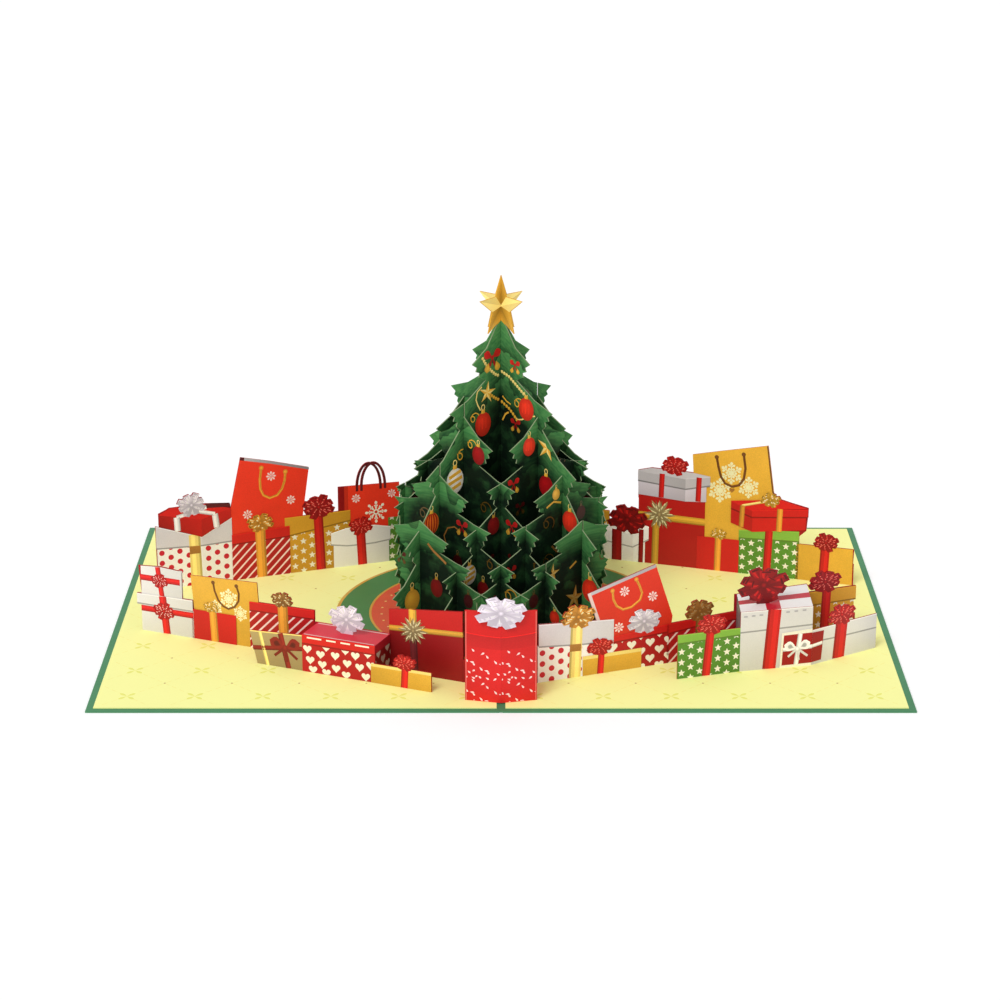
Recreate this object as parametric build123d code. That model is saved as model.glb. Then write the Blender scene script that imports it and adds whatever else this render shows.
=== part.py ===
"""Pop up card: a folded cover with two pages, two folded walls of gifts and a slotted paper tree."""
from build123d import *
import math
import os
from dataclasses import dataclass, field

# Driving dimensions in millimetres, card opened flat on a table
CARD_WIDTH = 300.0
CARD_DEPTH = 200.0
COVER_THICK = 0.6
PAGE_THICK = 0.4
SHEET_THICK = 0.5
PAGE_MARGIN = 2.6
SPINE_GAP = 3.2
SPINE_SCORE_WIDTH = 1.2
SPINE_SCORE_DEPTH = 0.2
FLAP_WIDTH = 8.0
FLAP_INSET = 9.0
FLAP_TAPER = 5.6

# Tree made of two crossing families of upright slices
TREE_HEIGHT = 118.0
TREE_REACH = 58.0
TREE_SLOPE = 1.75
TREE_FLARE = 0.0035
CENTRE_SLOPE = 0.64
CENTRE_DROOP = 0.018
SLICE_OFFSETS = (0.0, 20.0, 33.0, 43.5)
TIP_RUNS = (15.5, 27.5, 40.0, 51.0, 58.0)
TIP_SAG = 2.0
MIN_TIP_STEP = 6.0
TIER_DROP = 14.0
LOWEST_TIP = 8.0
EDGE_RUN_SHARE = 0.5
EDGE_DROP_SHARE = 0.64
NEEDLE_POINTS = ((0.0, 0.0), (-2.6, -1.7), (-1.9, -3.2), (-4.0, -4.0), (-3.5, -5.6), (-7.2, -7.4))
NEEDLE_ROOM = 12.0
NECK = 2.2
FOOT_INSET = 8.0
FOOT_RISE = 3.0
SLOT_CLEARANCE = 0.1
SLOT_RIM = 1.6
FAMILY_ANGLE = 45.0
STAR_RADIUS = 12.0
STAR_WAIST = 0.42
STAR_RISE = 6.0
STAR_SEAT = 2.5

# Plan of the gift walls, measured from the middle of the card
BACK_FOLD = 75.0
BACK_LEFT_END = (-138.0, 24.0)
BACK_RIGHT_END = (142.0, 29.0)
FRONT_FOLD = -79.0
FRONT_LEFT_END = (-138.0, -20.0)
FRONT_RIGHT_END = (136.0, -25.0)
STRIP_STAND_OFF = 13.4
STRIP_START = 93.0
STRIP_LENGTH = 72.0
RIGHT_STRIP_POINTS = ((65.1, -70.3), (88.8, -62.7), (116.2, -56.3), (142.4, -38.8))
CENTRE_BOX_HALF = 12.8
CENTRE_BOX_FRONT = -90.0
CENTRE_BOX_CREASE = -93.0
CENTRE_BOX_HEIGHT = 35.0
CENTRE_SIDE_HEIGHT = 20.0
BAND_HEIGHT = 9.0
WHITE_BOX_HEIGHT = 23.6
HEARTS_NEAR = 18.4
HEARTS_FAR = 48.4
HEARTS_HEIGHT = 14.6
STRIP_STAR_HEIGHT = 17.4
STRIP_ROUND_HEIGHT = 14.0
BOW_SEAT_INSET = 5.0

# Bows cut out by themselves: where along the lid they stand, width and height
HEARTS_BOW = (33.6, 15.2, 11.6)
WHITE_BOX_BOW = (10.8, 20.7, 14.8)
CENTRE_BOW = (19.2, 12.7)
BOW_FOOT_WIDTH = 5.0
BOW_LOOPS = 8
BOW_GAP = 0.7
BOW_SHORT_LOOP = 0.9
BOW_LOOP_SHARE = 0.28
HANDLE_WIRE = 1.1
HANDLE_SHIFT = 1.9

PAGE_TOP = COVER_THICK + PAGE_THICK


@dataclass
class Gift:
    """A gift or bag printed on a wall, by distance along the wall and height above the page.

    The corners give its outline. A bow is its middle, width and height; a handle is the middle
    and height of its feet, its width and its rise.
    """
    corners: tuple
    bow: tuple = ()
    handle: tuple = ()


def block(start: float, width: float, height: float) -> tuple:
    """Corners of a gift seen square on, standing on the page."""
    return ((start, 0), (start + width, 0), (start + width, height), (start, height))


@dataclass
class Wing:
    """One straight stretch of a wall: where it starts and ends in plan, and what stands on it."""
    start: tuple
    end: tuple
    gifts: list = field(default_factory=list)

    @property
    def length(self) -> float:
        return math.dist(self.start, self.end)

    @property
    def angle(self) -> float:
        return math.atan2(self.end[1] - self.start[1], self.end[0] - self.start[0])

    def plane(self) -> Plane:
        """Upright plane whose x runs along the wing and whose y is up."""
        along = (math.cos(self.angle), math.sin(self.angle), 0)
        normal = (math.sin(self.angle), -math.cos(self.angle), 0)
        return Plane(origin=(self.start[0], self.start[1], PAGE_TOP), x_dir=along, z_dir=normal)

    def point(self, along: float, across: float = 0.0) -> tuple:
        """Plan point at a distance along the wing and to the left of its direction."""
        return (self.start[0] + along * math.cos(self.angle) - across * math.sin(self.angle),
                self.start[1] + along * math.sin(self.angle) + across * math.cos(self.angle))


BACK_LEFT = Wing((0, BACK_FOLD), BACK_LEFT_END, gifts=[
    Gift(block(39.2, 10.4, 19.0)),
    Gift(((49.4, 0), (73.2, 0), (73.4, 10.2), (74.2, 10.4), (74.2, 15.1), (67.5, 16.6), (55.5, 16.6),
          (48.8, 15.2), (48.8, 9.8), (49.4, 9.7)), bow=(61.5, 16.8, 10.9, 8.4)),
    Gift(((65.8, 0), (91.7, 0), (91.7, 16.2), (93.7, 16.4), (93.5, 24.0), (65.8, 24.2)),
         bow=(79.2, 27.0, 14.4, 10.8)),
    Gift(((91.6, 0), (115.9, 0), (115.9, 19.4), (91.6, 20.6)), bow=(103.9, 23.3, 11.9, 8.2)),
    Gift(((115.8, 0), (146.8, 0), (147.1, 26.8), (128.2, 20.2), (115.7, 26.9))),
    Gift(((116.2, 22.0), (145.5, 22.0), (145.7, 31.9), (141.1, 33.8), (125.8, 34.0), (116.0, 31.7)),
         bow=(132.1, 34.2, 12.2, 10.2)),
    Gift(((44.6, 0), (70.8, 0), (70.8, 34.6), (44.6, 33.8)), handle=(56.7, 33.4, 11.2, 10.4)),
    Gift(((87.4, 14.0), (117.5, 14.0), (117.5, 24.0), (111.3, 51.8), (99.0, 48.9), (82.9, 44.5))),
])
BACK_RIGHT = Wing((0, BACK_FOLD), BACK_RIGHT_END, gifts=[
    Gift(block(30.0, 17.0, 21.0)),
    Gift(((43.1, 0), (62.4, 0), (62.4, 10.4), (63.9, 10.6), (63.9, 15.9), (54.0, 18.0), (43.5, 13.6)),
         bow=(54.8, 18.0, 17.9, 12.9)),
    Gift(((59.4, 0), (87.4, 0), (87.8, 29.0), (59.4, 29.7))),
    Gift(((59.2, 28.0), (87.7, 28.0), (87.9, 36.2), (89.3, 36.4), (89.3, 40.1), (82.2, 41.0),
          (64.6, 41.4), (59.0, 39.9)), bow=(74.3, 43.0, 11.9, 8.4)),
    Gift(block(84.3, 17.6, 14.2), bow=(93.3, 16.0, 7.2, 5.2)),
    Gift(((101.7, 0), (126.6, 0), (126.6, 20.5), (101.7, 18.6))),
    Gift(((98.2, 18.2), (126.4, 18.2), (129.4, 21.0), (130.0, 28.0), (130.1, 30.8), (118.7, 33.2),
          (98.2, 30.8)), bow=(114.4, 32.7, 8.8, 6.6)),
    Gift(((125.6, 0), (148.6, 0), (149.2, 15.2), (125.6, 15.2)), bow=(137.7, 16.9, 10.8, 8.2)),
    Gift(((84.0, 12.0), (118.0, 12.0), (115.6, 36.2), (112.8, 55.4), (92.9, 51.2), (81.7, 48.7))),
])
FRONT_LEFT = Wing((0, FRONT_FOLD), FRONT_LEFT_END, gifts=[
    Gift(((15.0, 0), (45.0, 0), (45.0, 24.5), (15.3, 27.7))),
    Gift(block(44.0, 34.0, HEARTS_HEIGHT)),
    Gift(((76.1, 0), (103.6, 0), (103.6, 18.7), (76.0, 19.2)), bow=(89.8, 21.2, 9.4, 6.4)),
    Gift(block(109.4, 19.2, 12.0), bow=(120.2, 13.9, 6.8, 4.8)),
    Gift(((127.8, 0), (150.6, 0), (150.8, 11.0), (152.6, 11.2), (152.6, 15.0), (128.2, 15.4))),
    Gift(((132.4, 14.0), (150.4, 14.0), (151.5, 26.4), (141.7, 27.2), (134.2, 26.6))),
    Gift(((103.0, 0), (126.6, 0), (128.7, 25.6), (100.2, 26.6), (99.5, 15.0))),
])
FRONT_RIGHT = Wing((0, FRONT_FOLD), FRONT_RIGHT_END, gifts=[
    Gift(((14.2, 0), (44.9, 0), (44.9, 20.8), (14.9, 22.9)), bow=(30.6, 23.8, 14.4, 9.8)),
    Gift(((44.6, 0), (67.4, 0), (67.2, 15.7), (44.8, 13.9)), bow=(57.2, 18.3, 14.4, 10.4)),
    Gift(((66.8, 0), (99.0, 0), (99.0, 17.0), (66.8, 15.7)), bow=(80.1, 19.2, 12.2, 9.2)),
    Gift(block(94.6, 30.6, WHITE_BOX_HEIGHT)),
    Gift(((122.3, 0), (145.4, 0), (145.4, 14.8), (146.2, 15.2), (146.2, 20.2), (122.3, 20.2)),
         bow=(132.8, 23.5, 14.5, 9.2)),
    Gift(((41.2, 12.0), (68.0, 12.0), (68.9, 18.8), (61.6, 40.2), (34.2, 32.2))),
])
LEFT_STRIP = (
    Gift(((-0.6, 0), (19.8, 0), (19.8, 14.2), (17.0, 14.2), (-3.6, 12.9))),
    Gift(block(HEARTS_NEAR, HEARTS_FAR - HEARTS_NEAR, HEARTS_HEIGHT)),
    Gift(block(46.8, 24.4, 7.6), bow=(60.4, 9.8, 9.8, 6.4)),
)
STRIP_STAR_BOW = (13.4, 20.1, 12.5, 8.4)
STRIP_ROUND_BOW = (14.2, 17.2, 14.0, 8.8)


def rosette(width: float, height: float) -> Sketch:
    """Outline of a gift bow: blunt ribbon loops round a middle, every other one shorter."""
    points = []
    for loop in range(BOW_LOOPS):
        middle = 2 * math.pi * (loop + 0.5) / BOW_LOOPS
        half = BOW_LOOP_SHARE * 2 * math.pi / BOW_LOOPS
        reach = BOW_SHORT_LOOP if loop % 2 else 1.0
        spots = ((middle - half, reach), (middle + half, reach), (middle + math.pi / BOW_LOOPS, BOW_GAP))
        for turn, share in spots:
            points.append((width / 2 * share * math.cos(turn), height / 2 * share * math.sin(turn)))
    return Polygon(*points, align=None)


def handle_loops(middle: float, foot: float, width: float, rise: float) -> Sketch:
    """The two open loops of a bag's handles, one a little along from the other."""
    outer = Ellipse(width / 2, rise)
    inner = Ellipse(width / 2 - HANDLE_WIRE, rise - HANDLE_WIRE)
    upper = Pos(0, rise / 2) * Rectangle(width, rise)
    loop = (outer - inner) & upper
    return Pos(middle - HANDLE_SHIFT / 2, foot) * loop + Pos(middle + HANDLE_SHIFT / 2, foot) * loop


def wing_outline(wing: Wing) -> Sketch:
    """Everything that stands on one wing, joined into one flat outline."""
    shape = Sketch()
    for gift in wing.gifts:
        shape += Polygon(*gift.corners, align=None)
        if gift.bow:
            along, level, width, height = gift.bow
            shape += Pos(along, level) * rosette(width, height)
        if gift.handle:
            shape += handle_loops(*gift.handle)
    return shape


def upright(wing: Wing) -> Part:
    """The wing's outline as an upright sheet, half its thickness either side of the wing's line."""
    return extrude(wing.plane() * wing_outline(wing), SHEET_THICK / 2, both=True)


def fold_corner(points: list, index: int, side: int) -> tuple:
    """Plan corner of a folded sheet on one face, mitred where two stretches meet."""
    directions = []
    for first, second in ((index - 1, index), (index, index + 1)):
        if first < 0 or second >= len(points):
            continue
        run = math.dist(points[first], points[second])
        directions.append(((points[second][0] - points[first][0]) / run,
                           (points[second][1] - points[first][1]) / run))
    normals = [(-dy, dx) for dx, dy in directions]
    total = (sum(n[0] for n in normals), sum(n[1] for n in normals))
    scale = side * SHEET_THICK / 2 * len(normals) / (total[0] ** 2 + total[1] ** 2)
    return (points[index][0] + total[0] * scale, points[index][1] + total[1] * scale)


def folded_strip(points: list, heights: list) -> Part:
    """An upright strip of sheet folded at plan points, each stretch with its own height."""
    strip = Part()
    for index, height in enumerate(heights):
        corners = [fold_corner(points, index, -1), fold_corner(points, index + 1, -1),
                   fold_corner(points, index + 1, 1), fold_corner(points, index, 1)]
        strip += extrude(Pos(0, 0, PAGE_TOP) * Polygon(*corners, align=None), height, dir=(0, 0, 1))
    return strip


def flat_sheet(points: list, underside: float) -> Part:
    """A level sheet with this plan outline."""
    return extrude(Pos(0, 0, underside) * Polygon(*points, align=None), SHEET_THICK, dir=(0, 0, 1))


def glue_flap(wing: Wing, side: int) -> Part:
    """Flap folded back at the foot of a wing and glued to the page."""
    far = side * FLAP_WIDTH
    last = wing.length - FLAP_INSET
    points = [wing.point(FLAP_INSET), wing.point(last), wing.point(last - FLAP_TAPER, far),
              wing.point(FLAP_INSET + FLAP_TAPER, far)]
    return flat_sheet(points, PAGE_TOP)


def folded_wall(left: Wing, right: Wing, flap_side: int) -> Part:
    """A wall of gifts: one sheet, folded upright above the spine, with a glue flap on each wing."""
    wall = folded_strip([left.end, left.start, right.end], [BAND_HEIGHT, BAND_HEIGHT])
    wall += upright(left) + upright(right)
    return wall + glue_flap(left, -flap_side) + glue_flap(right, flap_side)


def cover() -> Part:
    """Folded cover lying open, with its score line under the spine."""
    board = Pos(0, 0, COVER_THICK / 2) * Box(CARD_WIDTH, CARD_DEPTH, COVER_THICK)
    score = Pos(0, 0, SPINE_SCORE_DEPTH / 2) * Box(SPINE_SCORE_WIDTH, CARD_DEPTH, SPINE_SCORE_DEPTH)
    return board - score


def page(side: int) -> Part:
    """One of the two inner pages, glued to its half of the cover."""
    inner = SPINE_GAP / 2
    outer = CARD_WIDTH / 2 - PAGE_MARGIN
    middle = Pos(side * (inner + outer) / 2, 0, COVER_THICK + PAGE_THICK / 2)
    return middle * Box(outer - inner, CARD_DEPTH - 2 * PAGE_MARGIN, PAGE_THICK)


def node_height(radius: float) -> float:
    """Height at which two slices cross, by distance from the tree's axis."""
    return TREE_HEIGHT - TREE_SLOPE * radius + TREE_FLARE * radius ** 2


def slice_reach(offset: float, outer_side: bool) -> float:
    """How far a slice runs to one side: round in plan, with the outer sides kept within the width."""
    return TREE_REACH - abs(offset) if outer_side else math.sqrt(TREE_REACH ** 2 - offset ** 2)


def tier_tips(offset: float, outer_side: bool) -> list:
    """Branch tips of one half of a slice, from the top down, as distance and height."""
    reach = slice_reach(offset, outer_side)
    tips = []
    for run in TIP_RUNS:
        run = min(run, reach)
        if tips and run - tips[-1][0] < MIN_TIP_STEP:
            break
        height = node_height(math.hypot(offset, run)) - TIP_SAG
        if offset == 0:
            height = TREE_HEIGHT - CENTRE_SLOPE * run - CENTRE_DROOP * run ** 2
        tips.append((run, height))
    while tips[-1][1] - TIER_DROP > LOWEST_TIP:
        tips.append((reach, tips[-1][1] - TIER_DROP))
    return tips


def half_outline(offset: float, outer_side: bool) -> list:
    """Outline of one half of a slice below its peak, with a cluster of needles at each branch tip."""
    tips = tier_tips(offset, outer_side)
    floors = [height for _, height in tips[1:]] + [0.0]
    points = []
    last = (0.0, node_height(abs(offset)))
    for (run, height), floor in zip(tips, floors):
        neck = max(step for step in SLICE_OFFSETS if step < run - NECK) + NECK
        scale = min(1.0, (height - floor) / NEEDLE_ROOM)
        points.append((last[0] + (run - last[0]) * EDGE_RUN_SHARE,
                       last[1] + (height - last[1]) * EDGE_DROP_SHARE))
        points += [(max(run + x * scale, neck), height + y * scale) for x, y in NEEDLE_POINTS]
        last = points[-1]
    foot = slice_reach(offset, outer_side) - FOOT_INSET
    points += [(foot + FOOT_RISE, FOOT_RISE), (foot, 0)]
    return points


def star_outline() -> Sketch:
    """Five pointed star that tops the two middle slices."""
    points = []
    for step in range(10):
        radius = STAR_RADIUS if step % 2 == 0 else STAR_RADIUS * STAR_WAIST
        turn = math.radians(90 + 36 * step)
        points.append((radius * math.cos(turn), radius * math.sin(turn)))
    return Pos(0, TREE_HEIGHT + STAR_RISE) * Polygon(*points, align=None)


def crossings(offset: float, family: int) -> list:
    """Where the other family's slices cross this one, as distance along it and mid height."""
    spots = []
    for other in [sign * step for step in SLICE_OFFSETS for sign in (-1, 1) if step or sign > 0]:
        along = other if family == 1 else -other
        radius = math.hypot(offset, other)
        sideways = abs(other - offset) / math.sqrt(2)
        if radius < TREE_REACH - SLOT_RIM and sideways < TREE_REACH / math.sqrt(2) - SLOT_RIM:
            spots.append((along, node_height(radius) / 2))
    return spots


def tree_slice(offset: float, family: int) -> Part:
    """One upright slice of the tree, slotted from above in the first family and from below in the second."""
    outward = -1 if family == 1 else 1
    right_outer = offset * outward > 0
    left_outer = offset * outward < 0
    right = half_outline(offset, right_outer)
    left = [(-x, y) for x, y in half_outline(offset, left_outer)]
    peak = TREE_HEIGHT + STAR_SEAT if offset == 0 else node_height(abs(offset))
    outline = Polygon((0, peak), *right, *reversed(left), align=None)
    if offset == 0:
        outline += star_outline()
    slot = SHEET_THICK + 2 * SLOT_CLEARANCE
    tall = TREE_HEIGHT + STAR_RISE + STAR_RADIUS
    for along, middle in crossings(offset, family):
        cut = Rectangle(slot, tall)
        outline -= Pos(along, middle + tall / 2 if family == 1 else middle - tall / 2) * cut
    turn = FAMILY_ANGLE if family == 1 else -FAMILY_ANGLE
    along_dir = (math.cos(math.radians(turn)), math.sin(math.radians(turn)), 0)
    across_dir = (-along_dir[1], along_dir[0], 0)
    origin = (across_dir[0] * offset, across_dir[1] * offset, PAGE_TOP)
    plane = Plane(origin=origin, x_dir=along_dir, z_dir=(along_dir[1], -along_dir[0], 0))
    return extrude(plane * outline, SHEET_THICK / 2, both=True)


def left_strip() -> Part:
    """Row of gifts standing before the front wall's left wing, held off it by a box lid and side."""
    row = Wing(FRONT_LEFT.point(STRIP_START, STRIP_STAND_OFF),
               FRONT_LEFT.point(STRIP_START - STRIP_LENGTH, STRIP_STAND_OFF), gifts=list(LEFT_STRIP))
    back = STRIP_STAND_OFF - SHEET_THICK / 2
    lid = flat_sheet([row.point(HEARTS_NEAR), row.point(HEARTS_FAR), row.point(HEARTS_FAR, back),
                      row.point(HEARTS_NEAR, back)], PAGE_TOP + HEARTS_HEIGHT - SHEET_THICK)
    inner = HEARTS_FAR - SHEET_THICK
    side_foot = [row.point(inner), row.point(HEARTS_FAR), row.point(HEARTS_FAR, back), row.point(inner, back)]
    return upright(row) + lid + side_panel(side_foot, HEARTS_HEIGHT)


def side_panel(foot: list, height: float) -> Part:
    """Upright side of a box that stands on this foot on the page."""
    return extrude(Pos(0, 0, PAGE_TOP) * Polygon(*foot, align=None), height, dir=(0, 0, 1))


def wall_face_point(wing: Wing, across_x: float) -> tuple:
    """Point on the front face of a front wing at a given distance from the spine."""
    rise = math.tan(abs(math.atan2(wing.end[1] - wing.start[1], abs(wing.end[0] - wing.start[0]))))
    face = SHEET_THICK / 2 * math.sqrt(1 + rise ** 2)
    return (across_x, wing.start[1] + abs(across_x) * rise - face)


def right_strip() -> Part:
    """Row of three gifts before the front wall's right wing, the middle one a box with lid and side."""
    points = list(RIGHT_STRIP_POINTS)
    strip = folded_strip(points, [STRIP_STAR_HEIGHT, WHITE_BOX_HEIGHT, STRIP_ROUND_HEIGHT])
    outer = ((points[0], points[1], STRIP_STAR_HEIGHT, STRIP_STAR_BOW),
             (points[2], points[3], STRIP_ROUND_HEIGHT, STRIP_ROUND_BOW))
    for start, end, height, bow in outer:
        width = math.dist(start, end) - 2 * BOW_SEAT_INSET
        strip += upright(Wing(start, end, gifts=[Gift(block(BOW_SEAT_INSET, width, height), bow=bow)]))
    left, right = points[1], points[2]
    back_left = wall_face_point(FRONT_RIGHT, left[0])
    back_right = wall_face_point(FRONT_RIGHT, right[0])
    strip += flat_sheet([left, right, back_right, back_left], PAGE_TOP + WHITE_BOX_HEIGHT - SHEET_THICK)
    inner_back = wall_face_point(FRONT_RIGHT, left[0] + SHEET_THICK)
    side_foot = [left, (left[0] + SHEET_THICK, left[1]), inner_back, back_left]
    return strip + side_panel(side_foot, WHITE_BOX_HEIGHT)


def centre_box() -> Part:
    """Tall gift box over the spine: a creased front with a side panel running back to each wing."""
    half = CENTRE_BOX_HALF
    left_back = wall_face_point(FRONT_LEFT, -(half - SHEET_THICK / 2))[1]
    right_back = wall_face_point(FRONT_RIGHT, half - SHEET_THICK / 2)[1]
    points = [(-half, left_back), (-half, CENTRE_BOX_FRONT), (0, CENTRE_BOX_CREASE), (half, CENTRE_BOX_FRONT),
              (half, right_back)]
    return folded_strip(points, [CENTRE_SIDE_HEIGHT, CENTRE_BOX_HEIGHT, CENTRE_BOX_HEIGHT, CENTRE_SIDE_HEIGHT])


def standing_bow(wing: Wing, along: float, width: float, height: float, foot_height: float) -> Part:
    """A bow cut out by itself, standing upright with its foot on a box lid behind the wing."""
    foot = Pos(0, height / 4) * Rectangle(BOW_FOOT_WIDTH, height / 2)
    shape = Pos(0, height / 2) * rosette(width, height) + foot
    origin = wing.point(along, STRIP_STAND_OFF / 2)
    plane = Plane(origin=(origin[0], origin[1], PAGE_TOP + foot_height), x_dir=wing.plane().x_dir,
                  z_dir=wing.plane().z_dir)
    return extrude(plane * shape, SHEET_THICK / 2, both=True)


def centre_bow() -> Part:
    """Big bow glued flat against the crease of the middle box, level with its upper edge."""
    slope = math.atan2(CENTRE_BOX_FRONT - CENTRE_BOX_CREASE, CENTRE_BOX_HALF)
    face = CENTRE_BOX_CREASE - SHEET_THICK / 2 / math.cos(slope)
    plane = Plane(origin=(0, face, PAGE_TOP + CENTRE_BOX_HEIGHT), x_dir=(1, 0, 0), z_dir=(0, -1, 0))
    return extrude(plane * rosette(*CENTRE_BOW), SHEET_THICK)


def main() -> None:
    """Build every piece and write each one to its own file."""
    os.makedirs("parts", exist_ok=True)
    pieces = {
        "cover": cover(),
        "page_left": page(-1),
        "page_right": page(1),
        "back_gift_wall": folded_wall(BACK_LEFT, BACK_RIGHT, 1),
        "front_gift_wall": folded_wall(FRONT_LEFT, FRONT_RIGHT, 1),
        "gift_strip_left": left_strip(),
        "gift_strip_right": right_strip(),
        "centre_gift_box": centre_box(),
        "centre_box_bow": centre_bow(),
        "hearts_box_bow": standing_bow(
            FRONT_LEFT, STRIP_START - HEARTS_BOW[0], HEARTS_BOW[1], HEARTS_BOW[2], HEARTS_HEIGHT),
        "white_box_bow": standing_bow(
            Wing(RIGHT_STRIP_POINTS[1], RIGHT_STRIP_POINTS[2]), *WHITE_BOX_BOW, WHITE_BOX_HEIGHT),
    }
    for family, letter in ((1, "a"), (2, "b")):
        offsets = sorted({sign * step for step in SLICE_OFFSETS for sign in (-1, 1)})
        for number, offset in enumerate(offsets, start=1):
            pieces[f"tree_slice_{letter}{number}"] = tree_slice(offset, family)
    for name, piece in pieces.items():
        export_step(piece, f"parts/{name}.step")
        print(name, len(piece.solids()), round(piece.volume, 2))


main()
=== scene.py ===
"""Pop up card opened on a table: the looks of its cover, pages, slotted paper tree and printed gifts."""

import logging
import math
from dataclasses import dataclass, field, replace
from enum import Enum

import bmesh
import bpy
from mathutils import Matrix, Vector


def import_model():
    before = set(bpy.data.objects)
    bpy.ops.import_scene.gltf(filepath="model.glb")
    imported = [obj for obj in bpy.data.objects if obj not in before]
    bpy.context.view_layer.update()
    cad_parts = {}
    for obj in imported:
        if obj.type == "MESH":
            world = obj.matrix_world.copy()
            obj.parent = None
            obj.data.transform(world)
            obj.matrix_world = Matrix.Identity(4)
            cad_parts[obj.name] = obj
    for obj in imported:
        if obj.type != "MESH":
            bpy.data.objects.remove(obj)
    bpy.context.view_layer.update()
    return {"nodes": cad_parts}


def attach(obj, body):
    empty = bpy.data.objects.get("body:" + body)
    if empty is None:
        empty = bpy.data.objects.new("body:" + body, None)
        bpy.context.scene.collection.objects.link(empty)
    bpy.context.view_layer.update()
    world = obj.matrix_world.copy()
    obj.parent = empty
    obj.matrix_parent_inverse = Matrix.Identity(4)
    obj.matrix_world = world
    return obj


LOG = logging.getLogger("pop_up_card")
MM = 0.001
ROOT = "root"
GIFT_SLOT = "gift_print"
PAGE_SLOT = "page_paper"
SHEET_THICK = 0.5
PAGE_TOP = 1.0
INK_STEP = 0.007
RANK_STEP = 20
TREE_HEIGHT = 118.0
TREE_REACH = 58.0
TREE_SLOPE = 1.75
TREE_FLARE = 0.0035
UP = Vector((0, 0, 1))
Point = tuple[float, float]
Edge = tuple[float, float, float]


def linear(colour: tuple[int, int, int]) -> tuple[float, float, float, float]:
    """Turn an 8 bit display colour into the linear colour that a shader takes.

    Args:
        colour: Red, green and blue from 0 to 255.

    Returns:
        Linear red, green, blue and an alpha of one.
    """
    parts = [value / 255 for value in colour]
    return (*[v / 12.92 if v <= 0.04045 else ((v + 0.055) / 1.055) ** 2.4 for v in parts], 1.0)


class Graph:
    """A node tree with short calls to add nodes and link them."""

    def __init__(self, tree: bpy.types.NodeTree) -> None:
        """Start from an empty tree.

        Args:
            tree: Node tree of a material, a world or a modifier.
        """
        self.tree = tree
        self.nodes, self.links = tree.nodes, tree.links
        self.nodes.clear()

    def add(self, kind: str, inputs: dict | None = None, **settings: object) -> bpy.types.Node:
        """Add a node and set its options and unlinked inputs.

        Args:
            kind: Blender's type name of the node.
            inputs: Socket name or number to a value, or to another node's output socket.
            **settings: Properties of the node itself.

        Returns:
            The new node.
        """
        node = self.nodes.new(kind)
        for key, value in settings.items():
            setattr(node, key, value)
        for key, value in (inputs or {}).items():
            if isinstance(value, bpy.types.NodeSocket):
                self.links.new(value, node.inputs[key])
            else:
                node.inputs[key].default_value = value
        return node

    def maths(self, operation: str, *values: object, clamp: bool = False) -> bpy.types.NodeSocket:
        """Add a Math node on numbers or sockets and give its result."""
        node = self.add("ShaderNodeMath", dict(enumerate(values)), operation=operation, use_clamp=clamp)
        return node.outputs[0]


class NodeSheet(Graph):
    """The node tree of one paper or ink."""

    def __init__(self, name: str) -> None:
        """Start an empty node material.

        Args:
            name: Name of the material.
        """
        self.material = bpy.data.materials.new(name)
        self.material.use_nodes = True
        super().__init__(self.material.node_tree)

    def place_in(self) -> bpy.types.NodeSocket:
        """Give the place on the card, in metres."""
        return self.add("ShaderNodeTexCoord").outputs["Object"]

    def noise(self, scale: float, detail: float = 2.0, vector: object = None) -> bpy.types.NodeSocket:
        """Add a Noise node on object coordinates, with its scale in features per metre."""
        source = vector or self.place_in()
        node = self.add("ShaderNodeTexNoise", {"Vector": source, "Scale": scale, "Detail": detail})
        return node.outputs[0]

    def spread(self, value: object, low: float, high: float, to_low: float,
               to_high: float) -> bpy.types.NodeSocket:
        """Map a number from one range to another, held inside the new range."""
        sockets = {"Value": value, "From Min": low, "From Max": high, "To Min": to_low, "To Max": to_high}
        return self.add("ShaderNodeMapRange", sockets).outputs[0]

    def wander(self, scale: float, detail: float, share: float) -> bpy.types.NodeSocket:
        """Give a brightness that strays from one by a share."""
        return self.spread(self.noise(scale, detail), 0.3, 0.7, 1 - share, 1 + share)

    def blend(self, factor: object, first: object, second: object) -> bpy.types.NodeSocket:
        """Mix two colours and give the result."""
        return self.add("ShaderNodeMix", {0: factor, 6: first, 7: second}, data_type="RGBA").outputs[2]

    def scaled(self, colour: tuple[float, ...], factor: bpy.types.NodeSocket) -> bpy.types.NodeSocket:
        """Multiply a colour by a number."""
        node = self.add("ShaderNodeVectorMath", {0: colour[:3], 3: factor}, operation="SCALE")
        return node.outputs[0]

    def paper_bump(self, depth: float = 0.00006, scale: float = 1500) -> bpy.types.NodeSocket:
        """Give the fine uneven surface of card as a normal."""
        height = self.noise(scale, 4.0)
        return self.add("ShaderNodeBump", {"Strength": 0.35, "Distance": depth, "Height": height}).outputs[0]

    def finish(self, colour: object, rough: float, normal: object, sheen: float = 0.0,
               specular: float = 0.3) -> bpy.types.Material:
        """Close the tree with a Principled shader.

        Args:
            colour: Socket or colour for the base.
            rough: Roughness of the surface.
            normal: Socket with the surface normal.
            sheen: Strength of the soft varnish coat.
            specular: Strength of the mirror part of the paper itself.

        Returns:
            The finished material.
        """
        sockets = {"Base Color": colour, "Roughness": rough, "Normal": normal, "Specular IOR Level": specular,
                   "Coat Weight": sheen, "Coat Roughness": 0.35}
        shader = self.add("ShaderNodeBsdfPrincipled", sockets)
        self.add("ShaderNodeOutputMaterial", {"Surface": shader.outputs[0]})
        return self.material


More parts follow.
